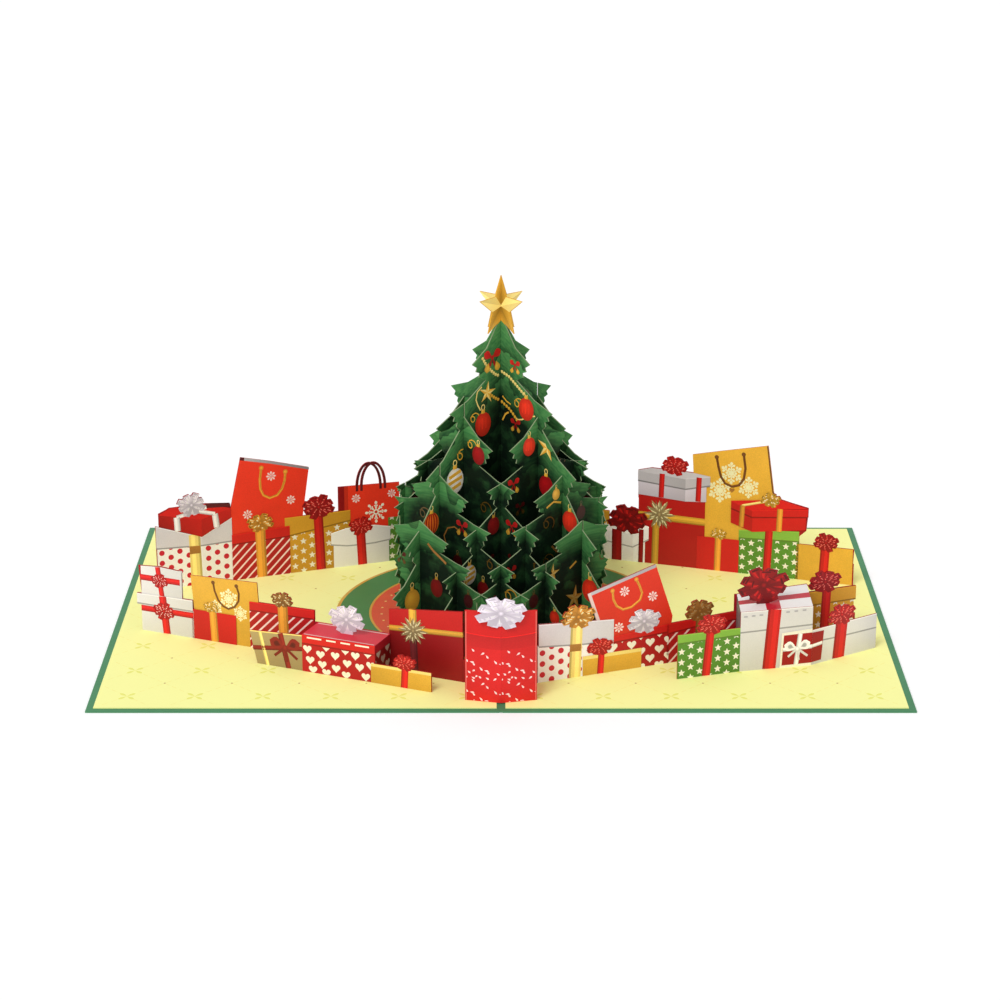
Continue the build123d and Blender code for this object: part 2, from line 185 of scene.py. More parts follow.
@dataclass(frozen=True)
class Ink:
    """One printed colour: its tint, how glossy it dries and how uneven it lies.

    Attributes:
        name: Name of the material.
        colour: Display colour.
        rough: Roughness of the dry ink.
        mottle: Share by which the tint varies.
        coat: Strength of the varnish.
    """

    name: str
    colour: tuple[int, int, int]
    rough: float = 0.5
    mottle: float = 0.06
    coat: float = 0.08

    def material(self) -> bpy.types.Material:
        """Make the ink's material once and reuse it."""
        found = bpy.data.materials.get(self.name)
        if found:
            return found
        sheet = NodeSheet(self.name)
        fine = sheet.wander(2400, 3.0, self.mottle)
        broad = sheet.wander(110, 2.0, self.mottle * 0.6)
        tone = sheet.add("ShaderNodeAttribute", attribute_name="tone").outputs["Fac"]
        level = sheet.maths("MULTIPLY", sheet.maths("MULTIPLY", fine, broad), tone)
        return sheet.finish(sheet.scaled(linear(self.colour), level), self.rough, sheet.paper_bump(),
                            self.coat)


def paint(material: bpy.types.Material, *nodes: bpy.types.Object) -> None:
    """Put a material into every slot of some nodes of the frame.

    Args:
        material: The finish.
        *nodes: The nodes.
    """
    for node in nodes:
        for material_slot in node.material_slots:
            material_slot.material = material


class Inks(Enum):
    """The printed colours of the gifts, ornaments and pages."""

    RED = Ink("gift_red_ink", (214, 28, 24))
    SCARLET = Ink("bag_scarlet_ink", (228, 52, 28))
    DARK_RED = Ink("deep_red_ink", (158, 12, 16))
    CRIMSON = Ink("crimson_ink", (196, 28, 48))
    CHERRY = Ink("cherry_ink", (188, 20, 26))
    RUST = Ink("rust_ink", (138, 34, 24))
    GOLD = Ink("gold_ink", (236, 178, 58), 0.36, 0.08, 0.25)
    PALE_GOLD = Ink("pale_gold_ink", (250, 222, 128), 0.36, 0.06, 0.25)
    MUSTARD = Ink("mustard_ink", (222, 160, 44))
    BROWN = Ink("brown_ink", (120, 72, 30))
    CREAM = Ink("cream_ink", (254, 246, 224))
    VANILLA = Ink("vanilla_ink", (255, 246, 190))
    WHITE = Ink("white_ink", (240, 234, 230), 0.5, 0.03)
    GREY = Ink("grey_ink", (210, 203, 206), 0.5, 0.04)
    LILAC = Ink("lilac_white_ink", (238, 226, 236), 0.42, 0.03, 0.15)
    TAN = Ink("tan_ink", (186, 160, 108))
    GREEN = Ink("gift_green_ink", (94, 146, 48))
    LIME = Ink("lime_ink", (138, 188, 68))
    SKIRT_GREEN = Ink("skirt_green_ink", (66, 128, 66))
    SKIRT_RED = Ink("skirt_red_ink", (222, 84, 48))
    MOTIF = Ink("page_motif_ink", (241, 241, 126), 0.7, 0.02, 0.0)
    MOTIF_LINE = Ink("page_line_ink", (252, 246, 150), 0.7, 0.02, 0.0)
    FLECK = Ink("page_fleck_ink", (196, 166, 92), 0.7, 0.02, 0.0)
    BLUSH = Ink("blush_ink", (250, 128, 112))
    BLUSH_WHITE = Ink("blush_white_ink", (255, 222, 214))
    MAROON = Ink("maroon_ink", (104, 30, 34))
    AMBER = Ink("amber_ink", (232, 156, 52), 0.4, 0.08, 0.2)
    VIVID = Ink("vivid_red_ink", (214, 20, 14))
    ORANGE = Ink("orange_ink", (232, 112, 34), 0.36, 0.05, 0.25)
    BRONZE = Ink("bronze_ink", (176, 118, 52), 0.36, 0.08, 0.25)


def box_points(left: float, low: float, right: float, high: float) -> list[Point]:
    """Corners of an upright rectangle, counter-clockwise."""
    return [(left, low), (right, low), (right, high), (left, high)]


def oval(centre: Point, half_width: float, half_height: float, steps: int = 8) -> list[Point]:
    """Points round an ellipse."""
    turns = [2 * math.pi * step / steps for step in range(steps)]
    return [(centre[0] + half_width * math.cos(t), centre[1] + half_height * math.sin(t)) for t in turns]


def star_points(centre: Point, radius: float, waist: float = 0.45, turn: float = 90.0) -> list[Point]:
    """Points of a five-pointed star with straight sides."""
    tips, points = 5, []
    for step in range(tips * 2):
        reach = radius if step % 2 == 0 else radius * waist
        angle = math.radians(turn + 180 * step / tips)
        points.append((centre[0] + reach * math.cos(angle), centre[1] + reach * math.sin(angle)))
    return points


def heart_points(centre: Point, size: float, steps: int = 18) -> list[Point]:
    """Points of a heart, by the usual sine curve."""
    points = []
    for step in range(steps):
        t = 2 * math.pi * step / steps
        x = 16 * math.sin(t) ** 3
        y = 13 * math.cos(t) - 5 * math.cos(2 * t) - 2 * math.cos(3 * t) - math.cos(4 * t)
        points.append((centre[0] + x * size / 32, centre[1] + y * size / 32))
    return points


def rosette_points(centre: Point, width: float, height: float, loops: int = 8) -> list[Point]:
    """Outline of a cut-out bow, the same rule that the card is cut by."""
    points = []
    for loop in range(loops):
        middle = 2 * math.pi * (loop + 0.5) / loops
        half = 0.28 * 2 * math.pi / loops
        reach = 0.9 if loop % 2 else 1.0
        for turn, share in ((middle - half, reach), (middle + half, reach), (middle + math.pi / loops, 0.7)):
            points.append((centre[0] + width / 2 * share * math.cos(turn),
                           centre[1] + height / 2 * share * math.sin(turn)))
    return points


def petal_points(centre: Point, turn: float, length: float, half_width: float, steps: int = 6) -> list[Point]:
    """Teardrop from a middle outwards, widest near its rounded end.

    Args:
        centre: Where the petal starts.
        turn: Its direction in radians.
        length: Its length.
        half_width: Half of its greatest width.
        steps: Points along each side.

    Returns:
        The outline.
    """
    side = []
    for step in range(steps + 1):
        share = step / steps
        side.append((length * share, half_width * math.sin(math.pi * share ** 1.6) ** 0.8))
    loop = side + [(x, -y) for x, y in reversed(side[1:-1])]
    cos_t, sin_t = math.cos(turn), math.sin(turn)
    return [(centre[0] + x * cos_t - y * sin_t, centre[1] + (x * sin_t + y * cos_t)) for x, y in loop]


def band_quads(path: list[Point], width: float) -> list[list[Point]]:
    """Quads of a ribbon of even width along a path."""
    sides = []
    for index, (x, y) in enumerate(path):
        before = path[max(index - 1, 0)]
        after = path[min(index + 1, len(path) - 1)]
        run = math.dist(before, after)
        nx, ny = -(after[1] - before[1]) / run * width / 2, (after[0] - before[0]) / run * width / 2
        sides.append(((x + nx, y + ny), (x - nx, y - ny)))
    return [[b, d, c, a] for (a, b), (c, d) in zip(sides, sides[1:])]


@dataclass(frozen=True)
class Face:
    """A flat printed face: a corner, its two directions and the way it looks, in millimetres.

    Attributes:
        origin: The corner.
        along: Direction of its width.
        up: Direction of its height.
        normal: The way it looks.
    """

    origin: Vector
    along: Vector
    up: Vector
    normal: Vector

    def at(self, x: float, y: float, lift: float) -> Vector:
        """Give a point of the face in metres, raised off the sheet by the thickness of the ink."""
        return (self.origin + self.along * x + self.up * y + self.normal * lift) * MM


@dataclass
class PrintSheet:
    """Collects flat inked shapes on one face and turns them into one mesh.

    Attributes:
        face: Where they are printed.
        shapes: Outline, ink, level and brightness of each.
    """

    face: Face
    shapes: list[tuple] = field(default_factory=list)

    def add(self, points: list[Point], ink: Inks, level: float, tones: object = 1.0) -> None:
        """Ink one closed outline.

        Args:
            points: The outline on the face.
            ink: Its colour.
            level: Which layer it lies in, counted up from the sheet.
            tones: One brightness, or one for each point.
        """
        values = tones if isinstance(tones, list) else [tones] * len(points)
        self.shapes.append((points, ink, level, values))

    def fan(self, centre: Point, rim: list[Point], ink: Inks, level: float, middle: float,
            edge: float) -> None:
        """Ink a rounded shape that shades from its middle to its rim."""
        for first, second in zip(rim, rim[1:] + rim[:1]):
            self.add([centre, first, second], ink, level, [middle, edge, edge])

    def panel(self, left: float, low: float, right: float, high: float, ink: Inks, level: float,
              tones: tuple[float, float] = (1.0, 1.0)) -> None:
        """Ink a rectangle that shades from left to right."""
        self.add(box_points(left, low, right, high), ink, level, [tones[0], tones[1], tones[1], tones[0]])

    def ribbon(self, path: list[Point], width: float, ink: Inks, level: float, tone: float = 1.0) -> None:
        """Ink a line of even width."""
        for quad in band_quads(path, width):
            self.add(quad, ink, level, tone)

    def build(self, name: str, slot: str) -> bpy.types.Object:
        """Make the mesh object, with one material slot for each ink.

        Args:
            name: Name of the piece.
            slot: Not used.

        Returns:
            The new piece, riding on the card.
        """
        vertices, polygons, owners, tones = [], [], [], []
        inks = sorted({ink for _, ink, _, _ in self.shapes}, key=lambda ink: ink.name)
        for points, ink, level, values in self.shapes:
            first = len(vertices)
            vertices += [self.face.at(x, y, INK_STEP * (level + 1)) for x, y in points]
            order = list(range(first, first + len(points)))
            polygons.append(order if self._faces_out(points) else order[::-1])
            owners.append(inks.index(ink))
            tones += values
        mesh = bpy.data.meshes.new(name)
        mesh.from_pydata(vertices, [], polygons)
        mesh.polygons.foreach_set("material_index", owners)
        mesh.attributes.new("tone", "FLOAT", "POINT").data.foreach_set("value", tones)
        for ink in inks:
            mesh.materials.append(ink.value.material())
        return place(mesh, name)

    def _faces_out(self, points: list[Point]) -> bool:
        """Tell whether an outline, taken as given, looks the way the face does."""
        area = sum(a[0] * b[1] - b[0] * a[1] for a, b in zip(points, points[1:] + points[:1]))
        return (area > 0) == (self.face.along.cross(self.face.up).dot(self.face.normal) > 0)


def place(mesh: bpy.types.Mesh, name: str) -> bpy.types.Object:
    """Put a finished mesh into the scene as a piece of the card.

    Args:
        mesh: Mesh in metres, in the card's own frame.
        name: Name of the piece.

    Returns:
        The new object.
    """
    mesh.update()
    piece = bpy.data.objects.new(name, mesh)
    bpy.context.scene.collection.objects.link(piece)
    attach(piece, ROOT)
    LOG.info("%s: %d faces", name, len(mesh.polygons))
    return piece


class Motif(Enum):
    """Small figures that the wrapping papers repeat."""

    DOT = "dot"
    STAR = "star"
    HEART = "heart"
    STRIPE = "stripe"
    BACK_STRIPE = "stripe leaning back"
    TICKS = "ticks"
    PETALS = "petals"

    def outlines(self, size: float) -> list[list[Point]]:
        """Give the figure's outlines about its middle.

        Args:
            size: Its overall size in millimetres.

        Returns:
            One or more closed outlines.
        """
        if self is Motif.DOT:
            return [oval((0, 0), size / 2, size / 2, 12)]
        if self is Motif.STAR:
            return [star_points((0, 0), size / 2)]
        if self is Motif.HEART:
            return [heart_points((0, 0), size)]
        if self in (Motif.STRIPE, Motif.BACK_STRIPE):
            half, reach = size / 2, 40.0
            lean = reach if self is Motif.STRIPE else -reach
            return [[(-half - lean, -reach), (half - lean, -reach),
                     (half + lean, reach), (-half + lean, reach)]]
        if self is Motif.TICKS:
            ticks = ((-1.5, 0.3, 1.8, -50), (0.3, -0.9, 1.7, -8), (1.3, -1.2, 1.4, -50),
                     (-6.9, -2.7, 1.8, -50), (-5.1, -3.9, 1.7, -8), (-4.1, -4.2, 1.4, -50),
                     (-0.5, -4.5, 1.4, -40), (1.2, -4.6, 1.2, 30), (-4.6, -6.6, 1.5, -30),
                     (1.0, -6.8, 1.4, -25), (2.3, -6.8, 1.1, 40), (-1.8, 4.2, 1.6, 38), (1.0, 4.2, 1.5, -48),
                     (-6.4, 2.0, 1.7, 36), (-4.5, 2.0, 1.5, -50), (3.6, -6.2, 1.3, -45))
            return [petal_points((x, y), math.radians(turn), length * size, 0.36 * size, 4)
                    for x, y, length, turn in ticks]
        turns = (45, 135, 225, 315)
        return [petal_points((0, 0), math.radians(turn), size / 2, size * 0.09) for turn in turns]


class FigurePress(Graph):
    """Sets copies of a flat figure on points that a Geometry Nodes tree works out."""

    def __init__(self, name: str, ports: tuple[tuple[str, str], ...]) -> None:
        """Open the tree with its sockets.

        Args:
            name: Name of the node tree.
            ports: Name and kind of each of its own inputs.
        """
        super().__init__(bpy.data.node_groups.new(name, "GeometryNodeTree"))
        self.tree.interface.new_socket("Copies", in_out="OUTPUT", socket_type="NodeSocketGeometry")
        for port, kind in (*ports, ("Figure", "Object"), ("Ink", "Material")):
            self.tree.interface.new_socket(port, in_out="INPUT", socket_type="NodeSocket" + kind)
        self.given = self.add("NodeGroupInput").outputs

    def set_on(self, points: bpy.types.NodeSocket) -> None:
        """End the tree with inked copies of the figure on points."""
        figure = self.add("GeometryNodeObjectInfo", {"Object": self.given["Figure"]}).outputs["Geometry"]
        copies = self.add("GeometryNodeInstanceOnPoints", {"Points": points, "Instance": figure}).outputs[0]
        real = self.add("GeometryNodeRealizeInstances", {0: copies}).outputs[0]
        inked = self.add("GeometryNodeSetMaterial", {"Geometry": real, "Material": self.given["Ink"]})
        self.add("NodeGroupOutput", {0: inked.outputs[0]})

    def run(self, start: bpy.types.Mesh, outlines: list[list[Point]], ink: Inks,
            settings: dict) -> bpy.types.Mesh:
        """Solve the tree once.

        Args:
            start: Mesh that the tree is put on.
            outlines: Closed outlines of the figure.
            ink: The colour that the tree sets.
            settings: Values of the tree's own inputs.

        Returns:
            Flat mesh of all the copies.
        """
        flat = bpy.data.meshes.new("figure")
        corners, loops = [], []
        for outline in outlines:
            loops.append(list(range(len(corners), len(corners) + len(outline))))
            corners += [(x, y, 0) for x, y in outline]
        flat.from_pydata(corners, [], loops)
        figure = bpy.data.objects.new("figure", flat)
        host = bpy.data.objects.new("copies", start)
        for made in (figure, host):
            bpy.context.scene.collection.objects.link(made)
        modifier = host.modifiers.new("copies", "NODES")
        modifier.node_group = self.tree
        values = {**settings, "Figure": figure, "Ink": ink.value.material()}
        for socket in self.tree.interface.items_tree:
            if socket.name in values:
                modifier[socket.identifier] = values[socket.name]
        solved = host.evaluated_get(bpy.context.evaluated_depsgraph_get())
        mesh = bpy.data.meshes.new_from_object(solved)
        for made in (host, figure):
            bpy.data.objects.remove(made)
        for old in (start, flat):
            bpy.data.meshes.remove(old)
        return mesh


class MotifPress(FigurePress):
    """Repeats a motif in staggered rows over an area."""

    def __init__(self) -> None:
        """Build the node tree."""
        super().__init__("motif_rows", (("Columns", "Int"), ("Lines", "Int"), ("Column Pitch", "Float"),
                                        ("Line Pitch", "Float"), ("Stagger", "Float")))
        given, maths = self.given, self.maths
        wide = maths("MULTIPLY", maths("SUBTRACT", given["Columns"], 1), given["Column Pitch"])
        tall = maths("MULTIPLY", maths("SUBTRACT", given["Lines"], 1), given["Line Pitch"])
        sizes = {"Size X": wide, "Size Y": tall, "Vertices X": given["Columns"], "Vertices Y": given["Lines"]}
        grid = self.add("GeometryNodeMeshGrid", sizes).outputs[0]
        spot = self.add("ShaderNodeSeparateXYZ", {0: self.add("GeometryNodeInputPosition").outputs[0]})
        from_foot = maths("ADD", spot.outputs[1], maths("DIVIDE", tall, 2))
        line = maths("ROUND", maths("DIVIDE", from_foot, given["Line Pitch"]))
        shift = maths("MULTIPLY", maths("MULTIPLY", maths("MODULO", line, 2), given["Stagger"]),
                      given["Column Pitch"])
        offset = self.add("ShaderNodeCombineXYZ", {0: shift}).outputs[0]
        self.set_on(self.add("GeometryNodeSetPosition", {"Geometry": grid, "Offset": offset}).outputs[0])

    def rows(self, motif: Motif, size: float, pitch: Point, stagger: float, area: list[Point],
             ink: Inks) -> list[list[Point]]:
        """Cover an area with a motif.

        Args:
            motif: The figure.
            size: Its size.
            pitch: Distance between columns and between lines.
            stagger: Share of the column pitch by which every other line is moved.
            area: Corners of the convex area to fill, counter-clockwise or clockwise.
            ink: The colour that the tree sets.

        Returns:
            Outlines that lie inside the area.
        """
        left, right = min(p[0] for p in area), max(p[0] for p in area)
        low, high = min(p[1] for p in area), max(p[1] for p in area)
        slanting = motif in (Motif.STRIPE, Motif.BACK_STRIPE)
        wide = right - left + (high - low if slanting else 0)
        settings = {"Columns": int(wide / pitch[0]) + 3,
                    "Lines": 1 if slanting else int((high - low) / pitch[1]) + 3,
                    "Column Pitch": pitch[0], "Line Pitch": pitch[1], "Stagger": stagger}
        mesh = self.run(bpy.data.meshes.new("rows"), motif.outlines(size), ink, settings)
        return self._trimmed(mesh, area, ((left + right) / 2, (low + high) / 2))

    @staticmethod
    def _trimmed(mesh: bpy.types.Mesh, area: list[Point], middle: Point) -> list[list[Point]]:
        """Move a flat mesh to an area's middle and cut off what runs past its sides."""
        flat = bmesh.new()
        flat.from_mesh(mesh)
        bpy.data.meshes.remove(mesh)
        bmesh.ops.translate(flat, vec=(*middle, 0), verts=flat.verts)
        for (ax, ay), (bx, by) in zip(area, area[1:] + area[:1]):
            side = Vector((by - ay, ax - bx, 0))
            if side.dot(Vector((middle[0] - ax, middle[1] - ay, 0))) > 0:
                side = -side
            bmesh.ops.bisect_plane(flat, geom=flat.verts[:] + flat.edges[:] + flat.faces[:],
                                   plane_co=(ax, ay, 0), plane_no=side, clear_outer=True)
        outlines = [[(v.co.x, v.co.y) for v in polygon.verts] for polygon in flat.faces]
        flat.free()
        return outlines


class BeadPress(FigurePress):
    """Strings round beads along a drawn line."""

    def __init__(self) -> None:
        """Build the node tree."""
        super().__init__("bead_string", (("Lines", "Geometry"), ("Pitch", "Float")))
        curve = self.add("GeometryNodeMeshToCurve", {"Mesh": self.given["Lines"]}).outputs[0]
        spaced = self.add("GeometryNodeResampleCurve", {"Curve": curve, "Length": self.given["Pitch"]},
                          mode="LENGTH")
        self.set_on(spaced.outputs[0])

    def string(self, path: tuple[Point, ...], bead: float, pitch: float, ink: Inks) -> list[list[Point]]:
        """Set beads along a path.

        Args:
            path: Line that the beads follow.
            bead: Diameter of a bead.
            pitch: Distance between beads.
            ink: The colour that the tree sets.

        Returns:
            One outline for each bead.
        """
        line = bpy.data.meshes.new("bead_line")
        steps = [(step, step + 1) for step in range(len(path) - 1)]
        line.from_pydata([(x, y, 0) for x, y in path], steps, [])
        mesh = self.run(line, [oval((0, 0), bead / 2, bead / 2)], ink, {"Pitch": pitch})
        return [[tuple(mesh.vertices[i].co[:2]) for i in polygon.vertices] for polygon in mesh.polygons]


@dataclass(frozen=True)
class Wrap:
    """Wrapping paper's repeated figure.

    Attributes:
        motif: The figure.
        ink: Its colour.
        size: Its size.
        pitch: Distance between columns and between lines.
        stagger: Share of the column pitch by which every other line is moved.
    """

    motif: Motif
    ink: Inks
    size: float
    pitch: Point
    stagger: float = 0.5

    def cover(self, sheet: PrintSheet, press: MotifPress, area: list[Point], level: float,
              tone: float = 1.0) -> None:
        """Repeat the figure over a convex area of a sheet.

        Args:
            sheet: Where it is printed.
            press: Maker of repeated figures.
            area: Corners of the area.
            level: Layer of the figures.
            tone: Their brightness.
        """
        for outline in press.rows(self.motif, self.size, self.pitch, self.stagger, area, self.ink):
            sheet.add(outline, self.ink, level, tone)


DOTS = Wrap(Motif.DOT, Inks.CRIMSON, 2.3, (7.4, 2.15))
STARS = Wrap(Motif.STAR, Inks.CREAM, 3.0, (7.2, 2.1))
HEARTS = Wrap(Motif.HEART, Inks.CREAM, 3.8, (7.6, 3.2))
STRIPES = Wrap(Motif.STRIPE, Inks.BLUSH_WHITE, 1.0, (4.4, 30.0), 0.0)
BACK_STRIPES = Wrap(Motif.BACK_STRIPE, Inks.BLUSH_WHITE, 0.95, (3.7, 30.0), 0.0)
TICKS = Wrap(Motif.TICKS, Inks.BLUSH_WHITE, 1.0, (10.8, 11.8), 0.0)


class Mark:
    """Something printed on a wall, a row of gifts or a bow."""

    def draw(self, sheet: PrintSheet, press: MotifPress) -> None:
        """Ink the mark.

        Args:
            sheet: Print of the face that carries it.
            press: Maker of repeated figures.
        """
        raise NotImplementedError


@dataclass(frozen=True)
class Patch(Mark):
    """One flat area of colour.

    Attributes:
        points: Its outline.
        ink: Colour.
        tones: One brightness, or one for each point.
        rank: How far in front of its neighbours it is printed.
        step: Its layer within that rank.
    """

    points: tuple[Point, ...]
    ink: Inks
    tones: object = 1.0
    rank: int = 0
    step: float = 0.0

    def draw(self, sheet: PrintSheet, press: MotifPress) -> None:
        """Ink the area."""
        tones = list(self.tones) if isinstance(self.tones, tuple) else self.tones
        sheet.add(list(self.points), self.ink, self.rank * RANK_STEP + self.step, tones)


@dataclass(frozen=True)
class Band(Mark):
    """A printed ribbon or cord along a path, with a lit middle and a dark hem.

    Attributes:
        path: Points that its middle runs through.
        width: Width.
        ink: Colour.
        rank: How far in front of its neighbours it is printed.
        step: Its layer within that rank.
        tone: Brightness.
        knots: Radius of the round knots at its ends, or nothing.
    """

    path: tuple[Point, ...]
    width: float
    ink: Inks
    rank: int = 1
    step: float = 4.0
    tone: float = 1.0
    knots: float = 0.0

    def draw(self, sheet: PrintSheet, press: MotifPress) -> None:
        """Ink the ribbon."""
        level = self.rank * RANK_STEP + self.step
        path = list(self.path)
        run = math.dist(path[0], path[-1])
        side = ((path[-1][1] - path[0][1]) / run, -(path[-1][0] - path[0][0]) / run)
        sheet.ribbon(path, self.width, self.ink, level, self.tone)
        lit_middle, dark_hem = (-0.14, 0.34, 1.3), (0.41, 0.18, 0.6)
        for shift, share, gain in (lit_middle, dark_hem):
            moved = [(x + side[0] * shift * self.width, y + side[1] * shift * self.width) for x, y in path]
            sheet.ribbon(moved, self.width * share, self.ink, level + 0.4, self.tone * gain)
        if self.knots:
            for end in (path[0], path[-1]):
                sheet.fan(end, oval(end, self.knots, self.knots), self.ink, level + 0.8, 1.4, 0.8)


@dataclass(frozen=True)
class Crate(Mark):
    """One printed gift box, drawn face by face.

    Attributes:
        body: Distance along the wall, foot and top of each upright edge of the box.
        paper: Colour of its paper.
        lid: Distance along, lower and upper edge of the lid at each of its edges.
        cap: Colour of the lid.
        wrap: Repeated figure, if any.
        glow: Brightness at the two edges of each face in turn.
        deep: Brightness of the foot as a share of that of the top.
        roof: Corners of the lid's upper side, where it shows.
        rank: How far in front of its neighbours it is printed.
    """

    body: tuple[Edge, ...]
    paper: Inks
    lid: tuple[Edge, ...] = ()
    cap: Inks = Inks.WHITE
    wrap: Wrap | None = None
    glow: tuple[float, ...] = (1.08, 0.94)
    deep: float = 0.8
    roof: tuple[Point, ...] = ()
    rank: int = 1

    def draw(self, sheet: PrintSheet, press: MotifPress) -> None:
        """Ink the box from its body up to its lid."""
        level = self.rank * RANK_STEP
        for face, near, far in self._faces(self.body):
            sheet.add(face, self.paper, level, [near * self.deep, far * self.deep, far, near])
            if self.wrap:
                self.wrap.cover(sheet, press, face, level + 1, (near + far) / 2)
        for face, near, far in self._faces(self.lid):
            sheet.add(face, self.cap, level + 2, [near, far, far, near])
            lower = [(x, y - 0.3) for x, y in face[:2]]
            upper = [(x, y - 0.22) for x, y in (face[3], face[2])]
            sheet.ribbon(lower, 0.6, self.cap, level + 2.3, (near + far) * 0.24)
            sheet.ribbon(upper, 0.4, self.cap, level + 2.5, (near + far) * 0.62)
        if self.roof:
            ink = self.cap if self.lid else self.paper
            sheet.add(list(self.roof), ink, level + 2.7, max(self.glow) * 1.08)

    def _faces(self, edges: tuple[Edge, ...]) -> list[tuple[list[Point], float, float]]:
        """Corners of every face between upright edges, with the brightness at its two sides."""
        faces = []
        for index, (near, far) in enumerate(zip(edges, edges[1:])):
            corners = [(near[0], near[1]), (far[0], far[1]), (far[0], far[2]), (near[0], near[2])]
            first = index * 2 % len(self.glow)
            faces.append((corners, self.glow[first], self.glow[first + 1]))
        return faces


class Loops(Enum):
    """How a bow is wound: each ring's loops, reach, half width and turn by a share of a loop."""

    BOXY = ((8, 1.0, 0.22, 0.5), (6, 0.78, 0.25, 0.1), (3, 0.5, 0.27, 0.3))
    CURLY = ((8, 1.0, 0.19, 0.5), (10, 0.84, 0.14, 0.2), (8, 0.6, 0.14, 0.6), (5, 0.36, 0.14, 0.1))
    WIDE = ((8, 1.0, 0.21, 0.5), (5, 0.78, 0.27, 0.15), (3, 0.48, 0.26, 0.4))
    SLIM = ((8, 1.0, 0.22, 0.5), (7, 0.8, 0.19, 0.0), (4, 0.54, 0.22, 0.25))
    STAR = ((12, 1.0, 0.14, 0.0), (8, 0.68, 0.15, 0.4), (5, 0.4, 0.15, 0.1))


@dataclass(frozen=True)
class Bow(Mark):
    """A printed gift bow.

    Attributes:
        along: Distance of its middle along the face.
        up: Height of its middle.
        width: Overall width.
        height: Overall height.
        ink: Colour of the ribbon.
        light: Colour of its highlights.
        loops: How the ribbon is wound.
        depth: How dark its shaded parts become, from nothing to one.
        rank: How far in front of its neighbours it is printed.
    """

    along: float
    up: float
    width: float
    height: float
    ink: Inks
    light: Inks = Inks.BLUSH
    loops: Loops = Loops.CURLY
    depth: float = 1.0
    rank: int = 1

    def draw(self, sheet: PrintSheet, press: MotifPress) -> None:
        """Ink the bow, its outer ring of loops first."""
        level = self.rank * RANK_STEP + 6
        if self.loops is Loops.STAR:
            rim = [self._spot(math.pi * n / 14 + 0.05, 0.96 if n % 2 == 0 else 0.3, 0) for n in range(28)]
            sheet.fan(self._spot(0, 0, 0), rim, self.ink, level, 0.4, 0.4)
        else:
            rim = rosette_points((self.along, self.up), self.width * 0.995, self.height * 0.995)
            sheet.fan(self._spot(0, 0, 0), rim, self.ink, level, self._shade(0.3), self._shade(0.6))
        for ring, (count, reach, girth, twist) in enumerate(self.loops.value):
            for number in range(count):
                short = 0.9 if ring == 0 and number % 2 else 1.0
                turn = 2 * math.pi * (number + twist) / count
                self._loop(sheet, turn, reach * short, girth, level + 1 + ring * 2 + number % 2)
        heart = self._spot(0, 0, 0)
        sheet.fan(heart, oval(heart, self.width * 0.06, self.height * 0.08), self.ink, level + 10, 1.2,
                  self._shade(0.5))

    def _shade(self, tone: float) -> float:
        """Soften a shade by the bow's depth."""
        return 1 - (1 - tone) * self.depth

    def _spot(self, turn: float, out: float, aside: float) -> Point:
        """Point of the bow by a direction and shares of its half size out along it and aside from it."""
        across = out * math.cos(turn) - aside * math.sin(turn)
        rise = out * math.sin(turn) + aside * math.cos(turn)
        return (self.along + self.width / 2 * across, self.up + self.height / 2 * rise)

    def _loop(self, sheet: PrintSheet, turn: float, reach: float, girth: float, level: float) -> None:
        """Ink one loop: its two sides, the light along its ridge and the dark hollow at its end."""
        pointed = self.loops is Loops.STAR
        blunt = 0.12 if pointed else 1.0
        lit = 1.04 + 0.2 * math.sin(turn)
        for side, gain in ((1, lit), (-1, self._shade(0.66) * lit)):
            outline = [self._spot(turn, 0.05, 0), self._spot(turn, reach * 0.985, 0),
                       self._spot(turn, reach * 0.955, side * girth * blunt),
                       self._spot(turn, reach * 0.6, side * girth * 0.85),
                       self._spot(turn, reach * 0.16, side * girth * 0.4)]
            sheet.add(outline, self.ink, level, [self._shade(0.42), gain, gain, gain, self._shade(0.5)])
        ridge = [self._spot(turn, reach * out, aside * girth)
                 for out, aside in ((0.42, 0.1), (0.8, 0.22), (0.8, 0.62), (0.5, 0.4))]
        sheet.add(ridge, self.light, level + 0.3, self._shade(0.94))
        if not pointed and math.sin(turn) > -0.5:
            hollow = [self._spot(turn, reach * out, aside * girth)
                      for out, aside in ((0.84, -0.66), (0.93, -0.6), (0.93, 0.6), (0.84, 0.66))]
            sheet.add(hollow, self.ink, level + 0.5, self._shade(0.6 if self.loops is Loops.SLIM else 0.3))


